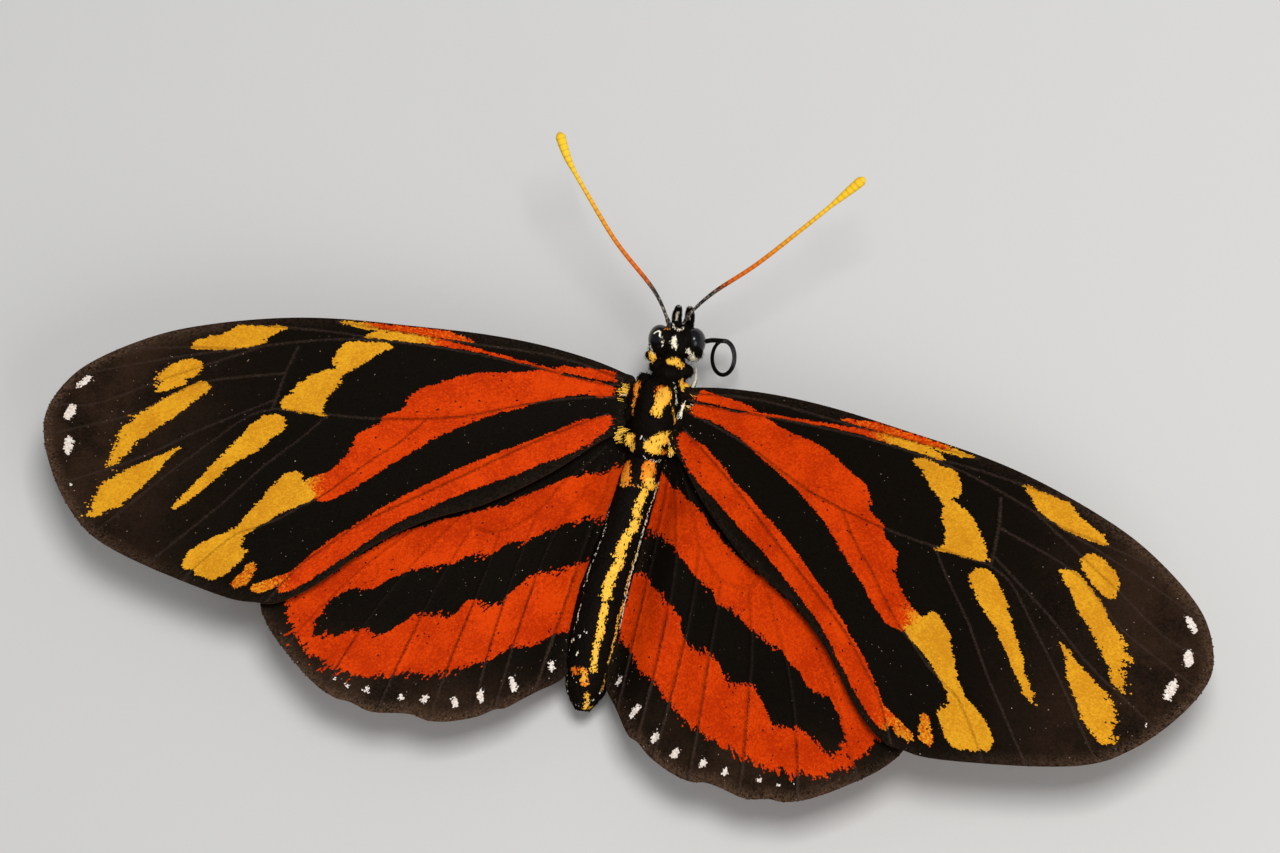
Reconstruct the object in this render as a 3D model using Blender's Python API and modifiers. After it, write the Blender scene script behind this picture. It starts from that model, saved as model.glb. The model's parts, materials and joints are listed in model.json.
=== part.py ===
"""A longwing butterfly at life size, standing with its wings spread flat.

The sizes are millimetres in the butterfly's own frame: x to its right, y to its head, z up,
with the feet on z = 0. The function world() turns them into metres, with the middle of the
whole butterfly over the origin. The wings are outlined in the wing's own plane, u out from the
wing root and v forward of it, and one outline serves both sides.
"""

import math

import bmesh
import bpy
from mathutils import Matrix, Vector
from mathutils.geometry import delaunay_2d_cdt

MM = 0.001
FRAME_X, FRAME_Y = 0.0, 2.157

# Joints between neighbouring nodes, and how close points are welded, in metres
GAP = 0.3
WELD = 1e-7

# Wings: the root, the rise outwards, the sag of the blade and the sheets' thickness
ROOT_X, ROOT_Y, ROOT_Z = 1.9, 1.5, 6.0
RISE, ARCH = math.tan(math.radians(4.5)), 0.0016
MEMBRANE, VEIN = 0.5, 0.8
VEIN_HALF_WIDTH = 0.22
HINDWING_DROP = VEIN + GAP

# Points of a wing's membrane: their spacing, their distance from the edge and from the veins, and the
# distance at which two points become one
LATTICE, EDGE_CLEAR, VEIN_CLEAR, MERGE = 3.2, 1.0, 0.8, 0.06

# Thorax: the middle of the chest, its half width, half length and half height
CHEST, CHEST_SIZE = (0.25, 1.1, 5.0), (1.9, 2.6, 2.5)
SHIELD, SHIELD_SIZE = (0.45, 1.3, 5.8), (1.45, 2.2, 1.9)
REAR, REAR_SIZE = (0.3, -0.9, 4.8), (1.45, 1.5, 1.75)
SCUTELLUM, SCUTELLUM_SIZE = (0.85, -0.75, 6.0), (1.0, 0.75, 0.72)

# Collar: its ring and the two lobes on its shoulders, the left one higher as the body leans
COLLAR, COLLAR_SIZE = (0.42, 3.9, 5.4), (1.2, 0.95, 1.3)
LOBE_LEFT, LOBE_RIGHT, LOBE_SIZE = (-0.30, 4.15, 5.80), (1.25, 4.30, 5.62), (0.72, 0.48, 0.56)

# Head: turned a little to the left and rolled a little to the right. Its forms are given in its own
# frame as a middle and three half sizes: the skull, the face, the back and the sockets of the feelers
HEAD = (0.35, 6.2, 5.6)
HEAD_YAW, HEAD_ROLL = math.radians(9), math.radians(8)
SKULL, SKULL_SIZE = (0, 0, 0), (0.85, 1.2, 1.2)
FACE, FACE_SIZE = (0, 0.45, -0.25), (0.72, 0.78, 0.92)
NAPE, NAPE_SIZE = (0, -0.55, 0.15), (1.02, 0.62, 0.95)
SOCKET, SOCKET_SIZE = (0.40, 0.48, 0.88), (0.26, 0.26, 0.26)
EYE, EYE_SIZE = (1.13, 0.05, 0), (0.78, 0.95, 1.15)

# Abdomen: how deep the groove at each segment border is, how far each segment bulges, how far along a
# segment its groove ends, and how its front and its tip are rounded off
GROOVE, BULGE, GROOVE_END = 0.07, 0.03, 0.12
FRONT_STEP, FRONT_PART, TIP_PART = 0.25, 0.6, 0.5

# Sides of the round pieces
CUTTER_SIDES, CHEST_SIDES, SMALL_SIDES, ABDOMEN_ROUND, PALP_SIDES, TUBE_SIDES = 24, 28, 16, 20, 12, 8

COLOURS = {
    "wing_orange": ((0.60, 0.075, 0.012), 0.75),
    "body_black": ((0.012, 0.010, 0.009), 0.65),
    "eye_dark": ((0.010, 0.011, 0.016), 0.12),
    "palp_dark": ((0.030, 0.025, 0.022), 0.70),
    "antenna_orange": ((0.55, 0.20, 0.02), 0.55),
    "proboscis_black": ((0.012, 0.010, 0.010), 0.25),
    "leg_brown": ((0.07, 0.045, 0.025), 0.60),
}

FOREWING = [
    (0.2, 1.65), (3, 2.21), (6.5, 2.39), (10.3, 2.24), (15, 1.74), (20, 1.14), (24, 0.33), (28.3, -1.0),
    (31.7, -2.45), (35, -4.6), (36.95, -6.57), (37.92, -9.1), (37.46, -11.22), (35.95, -13.64),
    (34.04, -15.65), (31.83, -17.05), (28, -18.06), (22.3, -18.91), (20, -18.81), (18.58, -18.5),
    (16.46, -16.85), (13.46, -13.4), (10.46, -10.95), (7, -8.9), (3.5, -6.0), (1, -3.3), (0.3, -2.4),
]
FOREWING_VEINS = {
    "subcosta": [(0.9, 1.35), (5, 1.6), (12, 1.25), (16, 0.9)],
    "radius": [(0.9, 0.72), (4, 0.62), (11, 0.55), (16.5, 0.1), (20, -0.55), (25, -2.05), (31, -4.2),
               (35.9, -6.4)],
    "cubitus": [(1.0, -0.05), (5.5, -1.6), (10.3, -3.7), (15.1, -4.92), (22.3, -5.8)],
    "cell_end": [(22.2, -1.9), (22.4, -5.2)],
    "media_1": [(22.7, -3.4), (27.3, -4.9), (31.8, -8.2), (36.7, -10.1)],
    "media_2": [(22.8, -5.0), (27, -8.3), (30.5, -11), (34.4, -14.2)],
    "media_3": [(22.9, -6.2), (26, -9), (28, -11.4), (31.5, -16.2)],
    "cubitus_1": [(19.3, -6.2), (22, -9.8), (24, -12.8), (27.4, -17.3)],
    "cubitus_2": [(12.7, -5.2), (14.8, -7.8), (18, -11.1), (22.3, -13.6), (24.6, -17.7)],
    "anal": [(1.1, -1.6), (6.2, -5.3), (12, -10), (16.3, -14.1), (18.9, -17.6)],
}
HINDWING = [
    (0.5, -1.2), (6, -3.2), (12, -7.4), (17.54, -13.16), (19.76, -16.58), (20.07, -18.42), (19.05, -20.0),
    (17.24, -21.51), (15.04, -22.96), (13.44, -23.57), (12.3, -23.64), (10.8, -24.0), (8.95, -23.66),
    (8, -23.55), (7, -23.7), (5.55, -23.38), (4, -22.62), (2.85, -21.82), (2.15, -21.52), (0.65, -20.02),
    (-0.56, -18.73), (-0.67, -16.8), (-0.47, -13), (-0.57, -10), (-0.95, -6.6), (-1, -5.3), (0, -3),
]
HINDWING_VEINS = {
    "radius_1": [(1.2, -2.2), (5, -4.3), (10, -7.5), (15, -11.8), (18.9, -17.2)],
    "radius_s": [(3.6, -4.9), (8, -8.5), (11, -11.2), (13.5, -14.2), (15.5, -17.3), (17, -20.6)],
    "cubitus": [(1.6, -3.6), (2.6, -6.2), (3.6, -8.3), (5.5, -10.1), (7.4, -10.3)],
    "media_1": [(8.3, -9.5), (10, -12.5), (12, -16.5), (14, -22.5)],
    "media_3": [(7.7, -10.9), (8.6, -14), (9.5, -18.5), (10.2, -23.0)],
    "cubitus_1": [(5.7, -10.8), (6, -14.5), (6.6, -20), (6.8, -22.8)],
    "cubitus_2": [(3.75, -9.0), (4.1, -13), (4.3, -18.5), (4.3, -22.0)],
    "anal": [(1.4, -5.0), (2.2, -9.5), (2.75, -15.5), (2.9, -21.2)],
}

# Middle of the abdomen at each segment border, with its radius there
ABDOMEN = [
    (0.20, -2.6, 4.72, 1.30), (0.14, -4.1, 4.50, 1.38), (0.02, -6.0, 4.25, 1.42), (-0.18, -8.5, 3.95, 1.52),
    (-0.34, -11.1, 3.50, 1.68), (-0.28, -13.6, 3.05, 1.76), (-0.16, -15.9, 2.60, 1.64),
    (-0.10, -17.5, 2.28, 1.20), (-0.02, -18.6, 2.10, 0.60),
]

# Feelers, from the socket in the head out to the club, which swells over the last part of the length,
# is full after a share of that and is rounded at the tip
ANTENNAE = {
    "antenna_left": [(-0.02, 6.3, 6.3), (-0.40, 7.25, 6.75), (-1.70, 8.86, 7.37), (-4.60, 11.11, 8.46),
                     (-7.00, 13.50, 9.46), (-8.76, 15.41, 10.23), (-9.80, 17.04, 10.80)],
    "antenna_right": [(0.50, 7.0, 6.1), (1.00, 8.0, 6.62), (2.25, 9.50, 7.20), (4.69, 11.60, 8.15),
                      (7.10, 14.05, 9.20), (9.20, 16.30, 10.10), (10.82, 18.08, 10.80)],
}
SHAFT, CLUB, CLUB_PART, CLUB_FULL, CLUB_TIP = 0.25, 0.36, 0.2, 0.6, 0.45

# Palps in the head's frame, on the right side: places along the middle line, with the radius. Both are
# turned a little to the right, so the line between them is off the head's middle
PALP_MIDDLE = 0.22
PALP = [
    (0.42, 0.70, -0.62, 0.22), (0.42, 1.25, -0.55, 0.28),
    (0.42, 1.85, -0.38, 0.27), (0.36, 2.38, -0.15, 0.12),
]

# Sucking tube: a strand out past the right eye, then a little more than one turn that sinks and drifts
# as it goes, under its own start
MOUTH = [(0.45, 6.60, 4.35), (0.75, 6.93, 4.05), (1.35, 6.97, 4.0), (1.85, 7.05, 4.0), (2.25, 7.20, 4.0)]
LOOP_CENTRE, LOOP_HALF, LOOP_LEAN = (3.27, 6.18), (0.74, 1.17), math.radians(15)
LOOP_START, LOOP_SWEEP = math.radians(100), math.radians(-380)
LOOP_TOP, LOOP_SINK, LOOP_DRIFT = 4.0, 0.85, (-0.21, 0.23)
TUBE, TAPER, LOOP_STEPS = 0.25, 0.35, 24

# Legs on the right side; the last two points of a walking leg are its foot, flat on the floor
LEGS = {
    "foreleg": [(0.80, 2.9, 3.4), (1.15, 3.6, 2.6), (1.30, 4.6, 2.7), (1.25, 5.3, 3.2)],
    "midleg": [(0.90, 1.5, 3.3), (1.40, 1.8, 2.3), (4.50, 2.4, 3.5), (6.90, 2.9, 0.2), (9.30, 3.8, 0.2)],
    "hindleg": [(0.90, -0.7, 3.3), (1.50, -1.4, 2.3), (4.20, -4.8, 3.4), (5.80, -9.2, 0.2),
                (6.60, -12.6, 0.2)],
}

# The legs' radius, and how far from a joint its rounding starts and cuts in, as shares of the length
LEG_RADIUS, KNEE_START, KNEE_CUT = 0.26, 0.12, 0.04


def world(x, y, z):
    """A point of the butterfly's frame, in metres, with the whole model centred."""
    return Vector(((x + FRAME_X) * MM, (y + FRAME_Y) * MM, z * MM))


def new_collection(name):
    """A new collection in the scene."""
    collection = bpy.data.collections.new(name)
    bpy.context.scene.collection.children.link(collection)
    return collection


def new_object(name, data, collection):
    """An object of the given mesh or curve, in a collection."""
    obj = bpy.data.objects.new(name, data)
    collection.objects.link(obj)
    return obj


def material(name):
    """One plain Principled material for each kind of surface."""
    if name in bpy.data.materials:
        return bpy.data.materials[name]
    colour, roughness = COLOURS[name]
    made = bpy.data.materials.new(name)
    made.use_nodes = True
    shader = made.node_tree.nodes["Principled BSDF"]
    shader.inputs["Base Color"].default_value = (*colour, 1)
    shader.inputs["Roughness"].default_value = roughness
    made.diffuse_color = (*colour, 1)
    return made


def finish(obj, material_name, smooth=True):
    """Give a node its material and its shading."""
    obj.data.materials.clear()
    obj.data.materials.append(material(material_name))
    for face in obj.data.polygons:
        face.use_smooth = smooth
    return obj


def smooth_through(points, steps, closed=False):
    """Points of a Catmull-Rom curve through the given ones, with steps to each stretch."""
    points = [Vector(p) for p in points]
    count = len(points)
    curve = []
    for i in range(count if closed else count - 1):
        if closed:
            a, b, c, d = (points[(i + k) % count] for k in (-1, 0, 1, 2))
        else:
            a, b = points[max(i - 1, 0)], points[i]
            c, d = points[i + 1], points[min(i + 2, count - 1)]
        for k in range(steps):
            t = k / steps
            curve.append(0.5 * (2 * b + (c - a) * t + (2 * a - 5 * b + 4 * c - d) * t * t
                                + (3 * b - a - 3 * c + d) * t ** 3))
    if not closed:
        curve.append(points[-1])
    return curve


def head_frame():
    """The head's place and turn in the butterfly's frame."""
    turned = Matrix.Rotation(HEAD_YAW, 4, "Z") @ Matrix.Rotation(HEAD_ROLL, 4, "Y")
    return Matrix.Translation(HEAD) @ turned


def ellipsoid(name, frame, centre, size, collection, grow=0.0, sides=CUTTER_SIDES):
    """An ellipsoid of three half sizes about a centre in a frame, grown by a clearance."""
    mesh = bpy.data.meshes.new(name)
    made = bmesh.new()
    bmesh.ops.create_uvsphere(made, u_segments=sides, v_segments=sides * 2 // 3, radius=1)
    stretch = Matrix.Diagonal([half + grow for half in size] + [1])
    for vertex in made.verts:
        point = frame @ Matrix.Translation(centre) @ stretch @ vertex.co
        vertex.co = world(*point)
    made.to_mesh(mesh)
    made.free()
    return new_object(name, mesh, collection)


def tube(name, points, radii, sides, collection):
    """A closed tube of changing radius along a line of points, as a mesh with welded caps."""
    data = bpy.data.curves.new(name, "CURVE")
    data.dimensions = "3D"
    data.bevel_depth = MM
    data.bevel_resolution = sides // 2 - 2
    data.use_fill_caps = True
    spline = data.splines.new("POLY")
    spline.points.add(len(points) - 1)
    for slot, point, radius in zip(spline.points, points, radii):
        slot.co = (*world(*point), 1)
        slot.radius = radius
    curve = new_object(name + "_curve", data, collection)
    bpy.context.view_layer.update()
    evaluated = curve.evaluated_get(bpy.context.evaluated_depsgraph_get())
    mesh = bpy.data.meshes.new_from_object(evaluated)
    bpy.data.objects.remove(curve)
    welded = bmesh.new()
    welded.from_mesh(mesh)
    bmesh.ops.remove_doubles(welded, verts=welded.verts, dist=WELD)
    bmesh.ops.recalc_face_normals(welded, faces=welded.faces)
    welded.to_mesh(mesh)
    welded.free()
    mesh.name = name
    return new_object(name, mesh, collection)


def apply_modifiers(obj):
    """Make the shown shape the object's own mesh."""
    bpy.context.view_layer.update()
    evaluated = obj.evaluated_get(bpy.context.evaluated_depsgraph_get())
    mesh = bpy.data.meshes.new_from_object(evaluated)
    obj.modifiers.clear()
    obj.data = mesh
    return obj


def keep_largest(obj):
    """Keep only the largest closed surface of a cut or joined node."""
    made = bmesh.new()
    made.from_mesh(obj.data)
    left = set(made.verts)
    shells = []
    while left:
        start = left.pop()
        shell, front = {start}, [start]
        while front:
            vertex = front.pop()
            for edge in vertex.link_edges:
                other = edge.other_vert(vertex)
                if other not in shell:
                    shell.add(other)
                    front.append(other)
        left -= shell
        shells.append(shell)
    largest = max(shells, key=len)
    scraps = [vertex for shell in shells if shell is not largest for vertex in shell]
    bmesh.ops.delete(made, geom=scraps, context="VERTS")
    made.to_mesh(obj.data)
    made.free()
    return obj


def cut_clear(obj, cutters):
    """Cut a node back from its neighbours, each given as a grown copy."""
    for cutter in cutters:
        cutter.hide_render = True
        cutter.display_type = "WIRE"
        cut = obj.modifiers.new("clear_" + cutter.name, "BOOLEAN")
        cut.operation = "DIFFERENCE"
        cut.object = cutter
    apply_modifiers(obj)
    return keep_largest(obj)


def join_pieces(name, pieces, collection):
    """One closed body out of overlapping closed pieces."""
    group = new_collection(name + "_pieces")
    first, rest = pieces[0], pieces[1:]
    for piece in rest:
        for home in piece.users_collection:
            home.objects.unlink(piece)
        group.objects.link(piece)
    joined = first.modifiers.new("join", "BOOLEAN")
    joined.operation = "UNION"
    joined.operand_type = "COLLECTION"
    joined.collection = group
    apply_modifiers(first)
    for piece in rest:
        bpy.data.objects.remove(piece)
    bpy.data.collections.remove(group)
    for home in first.users_collection:
        home.objects.unlink(first)
    collection.objects.link(first)
    first.name = name
    return keep_largest(first)


def ellipse_reach(side, centre, size, y, z):
    """How far out to one side an ellipsoid reaches at a place, nothing past its ends."""
    inside = 1 - ((y - centre[1]) / size[1]) ** 2 - ((z - centre[2]) / size[2]) ** 2
    if inside <= 0:
        return 0.0
    return side * centre[0] + size[0] * math.sqrt(inside)


def body_side(side, y, z):
    """The body's outermost x on one side, at a place along it and a height."""
    lumps = ((CHEST, CHEST_SIZE), (SHIELD, SHIELD_SIZE), (REAR, REAR_SIZE))
    reach = [ellipse_reach(side, centre, size, y, z) for centre, size in lumps]
    for front, back in zip(ABDOMEN, ABDOMEN[1:]):
        if back[1] <= y <= front[1]:
            t = (front[1] - y) / (front[1] - back[1])
            x, _, middle, radius = Vector(front).lerp(Vector(back), t)
            if abs(z - middle) < radius:
                reach.append(side * x + math.sqrt(radius ** 2 - (z - middle) ** 2))
    return max(reach)


def wing_height(u, drop):
    """Height of a wing's middle surface."""
    return ROOT_Z + u * RISE - ARCH * u * u - drop


def rooted_outline(side, outline, drop):
    """A wing's smooth outline, drawn back where it would touch the body."""
    rooted = []
    for point in smooth_through([(u, v, 0) for u, v in outline], 3, closed=True):
        heights = [wing_height(point.x, drop) + k * VEIN / 2 for k in (-1, 0, 1)]
        nearest = max(body_side(side, ROOT_Y + point.y, z) for z in heights) + GAP - ROOT_X
        rooted.append(Vector((max(point.x, nearest), point.y)))
    return rooted


def depth_inside(outline, point):
    """How deep a point lies inside an outline, negative outside it."""
    inside = False
    nearest = 1e9
    for a, b in zip(outline, outline[1:] + outline[:1]):
        if (a.y > point.y) != (b.y > point.y):
            if point.x < a.x + (point.y - a.y) * (b.x - a.x) / (b.y - a.y):
                inside = not inside
        nearest = min(nearest, distance_to_stretch(point, a, b))
    return nearest if inside else -nearest


def distance_to_stretch(point, a, b):
    """Distance from a point to a straight stretch."""
    along = b - a
    t = max(0, min(1, (point - a).dot(along) / max(along.length_squared, 1e-12)))
    return (point - a - along * t).length


def vein_lines(veins, outline):
    """Each vein's middle line, sampled and kept clear of the wing's edge."""
    lines = []
    for points in veins.values():
        line = [p.to_2d() for p in smooth_through([(u, v, 0) for u, v in points], 2)]
        line = [p for p in line if depth_inside(outline, p) > 2 * VEIN_HALF_WIDTH]
        if len(line) > 2:
            lines.append(line)
    return lines


def flank(line, offset):
    """A line beside a vein, meeting it at both ends."""
    beside = [line[0]]
    for before, here, after in zip(line, line[1:], line[2:]):
        along = (after - before).normalized()
        beside.append(here + Vector((-along.y, along.x)) * offset)
    return beside + [line[-1]]


def vein_weight(lines, point):
    """One on a vein's middle line, falling to nothing just inside its flanks."""
    return max(0.0, 1 - (vein_clearance(lines, point) + MERGE / 10) / VEIN_HALF_WIDTH)


def lattice(outline, lines):
    """Points spread evenly inside an outline, away from its edge and its veins."""
    spread = []
    reach, front = max(p.x for p in outline), max(p.y for p in outline)
    depth = front - min(p.y for p in outline)
    row_step = LATTICE * math.sqrt(3) / 2
    for row in range(int(depth / row_step) + 1):
        for column in range(int(reach / LATTICE) + 1):
            point = Vector((column * LATTICE + (row % 2) * LATTICE / 2, front - row * row_step))
            if depth_inside(outline, point) > EDGE_CLEAR and vein_clearance(lines, point) > VEIN_CLEAR:
                spread.append(point)
    return spread


def vein_clearance(lines, point):
    """Distance from a point to the nearest vein."""
    return min(distance_to_stretch(point, a, b) for line in lines for a, b in zip(line, line[1:]))


def wing(name, side, outline, veins, drop, collection):
    """A wing: one membrane in its outline, thickened along its main veins on both faces."""
    edge = rooted_outline(side, outline, drop)
    lines = vein_lines(veins, edge)
    points, edges = list(edge), []
    for line in lines:
        for offset in (-VEIN_HALF_WIDTH, 0, VEIN_HALF_WIDTH):
            first = len(points)
            points += flank(line, offset)
            edges += [(i, i + 1) for i in range(first, len(points) - 1)]
    points += lattice(edge, lines)
    flat, _, faces = delaunay_2d_cdt(points, edges, [list(range(len(edge)))], 1, MERGE)[:3]
    mesh = bpy.data.meshes.new(name)
    places = [world(side * (ROOT_X + p.x), ROOT_Y + p.y, wing_height(p.x, drop)) for p in flat]
    mesh.from_pydata(places, [], [face if side > 0 else face[::-1] for face in faces])
    obj = new_object(name, mesh, collection)
    raised = obj.vertex_groups.new(name="veins")
    for index, point in enumerate(flat):
        raised.add([index], vein_weight(lines, point), "REPLACE")
    thicken = obj.modifiers.new("thickness", "SOLIDIFY")
    thicken.thickness = VEIN * MM
    thicken.offset = 0
    thicken.vertex_group = raised.name
    thicken.thickness_vertex_group = MEMBRANE / VEIN
    return finish(obj, "wing_orange")


def thorax(collection):
    """The chest, its shield and its rear part, fused."""
    body = Matrix.Identity(4)
    pieces = [
        ellipsoid("chest", body, CHEST, CHEST_SIZE, collection, sides=CHEST_SIDES),
        ellipsoid("shield", body, SHIELD, SHIELD_SIZE, collection),
        ellipsoid("rear", body, REAR, REAR_SIZE, collection),
        ellipsoid("scutellum", body, SCUTELLUM, SCUTELLUM_SIZE, collection, sides=SMALL_SIDES),
    ]
    return finish(join_pieces("thorax", pieces, collection), "body_black")


def thorax_cutters(cutters):
    """The thorax grown by the joint gap."""
    body = Matrix.Identity(4)
    return [
        ellipsoid("chest_clear", body, CHEST, CHEST_SIZE, cutters, GAP),
        ellipsoid("shield_clear", body, SHIELD, SHIELD_SIZE, cutters, GAP),
        ellipsoid("rear_clear", body, REAR, REAR_SIZE, cutters, GAP),
    ]


def mirrored(side, place):
    """A place on the right side of a frame, on either side of it."""
    return (side * place[0], place[1], place[2])


def head_forms(collection, grow=0.0, sides=SMALL_SIDES):
    """The round forms of the head, as large as they are or grown by the joint gap."""
    frame = head_frame()
    forms = [("skull", SKULL, SKULL_SIZE), ("face", FACE, FACE_SIZE), ("nape", NAPE, NAPE_SIZE)]
    forms += [("socket", mirrored(side, SOCKET), SOCKET_SIZE) for side in (-1, 1)]
    return [ellipsoid(name, frame, place, size, collection, grow, sides) for name, place, size in forms]


def head_parts(collection, cutters):
    """The head, the eyes on its sides and the palps before its mouth."""
    frame = head_frame()
    finish(join_pieces("head", head_forms(collection, sides=CUTTER_SIDES), collection), "body_black")
    clear = head_forms(cutters, GAP)
    for word, side in (("left", -1), ("right", 1)):
        eye = ellipsoid("eye_" + word, frame, mirrored(side, EYE), EYE_SIZE, collection)
        finish(cut_clear(eye, clear), "eye_dark")
        line = palp_line()
        points = [frame @ Vector((PALP_MIDDLE + side * x, y, z)) for x, y, z, _ in line]
        palp = tube("palp_" + word, points, [stop[3] for stop in line], PALP_SIDES, collection)
        finish(cut_clear(palp, clear), "palp_dark")
    return clear


def palp_line():
    """The palp's middle line with its radius, rounded at the tip."""
    places = smooth_through([p[:3] for p in PALP], 4)
    widths = smooth_through([(p[3], 0, 0) for p in PALP], 4)
    return [(*place, width.x) for place, width in zip(places, widths)]


def collar(collection, cutters, head_clear):
    """The front of the thorax, between the head and the chest, with a lobe on each shoulder."""
    body = Matrix.Identity(4)
    pieces = [
        ellipsoid("ring", body, COLLAR, COLLAR_SIZE, collection),
        ellipsoid("lobe_left", body, LOBE_LEFT, LOBE_SIZE, collection, sides=SMALL_SIDES),
        ellipsoid("lobe_right", body, LOBE_RIGHT, LOBE_SIZE, collection, sides=SMALL_SIDES),
    ]
    joined = join_pieces("collar", pieces, collection)
    return finish(cut_clear(joined, thorax_cutters(cutters) + head_clear), "body_black")


def abdomen(collection):
    """A round body of segments with a shallow groove at each border."""
    points, radii = [], []
    stations = [Vector(p[:3]) for p in ABDOMEN]
    girths = [p[3] for p in ABDOMEN]
    for index in range(len(stations) - 1):
        a, b = stations[index], stations[index + 1]
        ra, rb = girths[index], girths[index + 1]
        for t, groove in ((0.0, GROOVE), (GROOVE_END, 0.0), (0.5, -BULGE), (1 - GROOVE_END, 0.0)):
            points.append(a.lerp(b, t))
            radii.append(ra + (rb - ra) * t - groove)
    points = [stations[0] + Vector((0, FRONT_STEP, 0))] + points + [stations[-1]]
    radii = [girths[0] * FRONT_PART] + radii + [girths[-1] * TIP_PART]
    return finish(tube("abdomen", points, radii, ABDOMEN_ROUND, collection), "body_black")


def antenna(name, points, collection, head_clear):
    """A feeler: an even shaft that swells to a club at its end."""
    line = smooth_through(points, 4)
    radii = []
    for index in range(len(line)):
        t = index / (len(line) - 1)
        swell = max(0.0, (t - 1 + CLUB_PART) / CLUB_PART)
        radii.append(SHAFT + (CLUB - SHAFT) * math.sin(min(1.0, swell / CLUB_FULL) * math.pi / 2))
    radii[-1] = CLUB * CLUB_TIP
    feeler = tube(name, line, radii, TUBE_SIDES, collection)
    return finish(cut_clear(feeler, head_clear), "antenna_orange")


def loop_point(turn):
    """A point of the sucking tube's loop, for a turn from 0 to 1."""
    angle = LOOP_START + LOOP_SWEEP * turn
    oval = Vector((LOOP_HALF[0] * math.cos(angle), LOOP_HALF[1] * math.sin(angle)))
    oval.rotate(Matrix.Rotation(LOOP_LEAN, 2))
    middle = Vector(LOOP_CENTRE) + Vector(LOOP_DRIFT) * turn
    return Vector((*(middle + oval), LOOP_TOP - LOOP_SINK * turn))


def proboscis(collection, head_clear):
    """The sucking tube in two lengths: the strand from the mouth and the loop."""
    loop = [loop_point(k / LOOP_STEPS) for k in range(1, LOOP_STEPS + 1)]
    radii = [TUBE * (1 - TAPER * k / LOOP_STEPS) for k in range(LOOP_STEPS)]
    finish(tube("proboscis_loop", loop, radii, TUBE_SIDES, collection), "proboscis_black")
    strand = smooth_through(MOUTH, 4)
    base = tube("proboscis_base", strand, [TUBE] * len(strand), TUBE_SIDES, collection)
    finish(cut_clear(base, head_clear), "proboscis_black")


def flatten_sole(obj):
    """Cut a foot off level with the floor."""
    made = bmesh.new()
    made.from_mesh(obj.data)
    everything = made.verts[:] + made.edges[:] + made.faces[:]
    cut = bmesh.ops.bisect_plane(made, geom=everything, plane_co=(0, 0, 0), plane_no=(0, 0, -1),
                                 clear_outer=True)
    rim = [item for item in cut["geom_cut"] if isinstance(item, bmesh.types.BMEdge)]
    bmesh.ops.holes_fill(made, edges=rim, sides=0)
    bmesh.ops.recalc_face_normals(made, faces=made.faces)
    made.to_mesh(obj.data)
    made.free()
    return obj


def legs(collection, cutters):
    """Two short folded forelegs and four walking legs, each cut clear of the chest."""
    chest = thorax_cutters(cutters)
    for kind, points in LEGS.items():
        for word, side in (("left", -1), ("right", 1)):
            placed = [(CHEST[0] + side * x, y, z) for x, y, z in points]
            line = smooth_leg(placed)
            leg = tube(kind + "_" + word, line, [LEG_RADIUS] * len(line), TUBE_SIDES, collection)
            cut_clear(leg, chest)
            if points[-1][2] < LEG_RADIUS:
                flatten_sole(leg)
            finish(leg, "leg_brown")


def smooth_leg(points):
    """A leg's line with its joints rounded off."""
    points = [Vector(p) for p in points]
    line = [points[0]]
    for before, here, after in zip(points, points[1:], points[2:]):
        knee = here.lerp(before, KNEE_CUT).lerp(here.lerp(after, KNEE_CUT), 0.5)
        line += [here.lerp(before, KNEE_START), knee, here.lerp(after, KNEE_START)]
    return line + [points[-1]]


def main():
    for obj in list(bpy.data.objects):
        bpy.data.objects.remove(obj, do_unlink=True)
    parts = new_collection("longwing_butterfly")
    cutters = new_collection("longwing_cutters")
    thorax(parts)
    head_clear = head_parts(parts, cutters)
    collar(parts, cutters, head_clear)
    abdomen(parts)
    for name, points in ANTENNAE.items():
        antenna(name, points, parts, head_clear)
    proboscis(parts, head_clear)
    legs(parts, cutters)
    for word, side in (("left", -1), ("right", 1)):
        wing("forewing_" + word, side, FOREWING, FOREWING_VEINS, 0, parts)
        wing("hindwing_" + word, side, HINDWING, HINDWING_VEINS, HINDWING_DROP, parts)


main()
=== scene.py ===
# %% [markdown]
# # A longwing butterfly at life size
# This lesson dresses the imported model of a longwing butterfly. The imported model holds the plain
# solids; here each one is replaced by a finer piece in the same place. We work in millimetres in
# the butterfly's own frame, because a wing scale is a tenth of a millimetre, and turn the result
# into metres only when a mesh is made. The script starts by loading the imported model.

# %% Load the frame
import json
import math

import bpy
import numpy as np
from mathutils import Matrix, Vector
from mathutils.geometry import delaunay_2d_cdt

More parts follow.
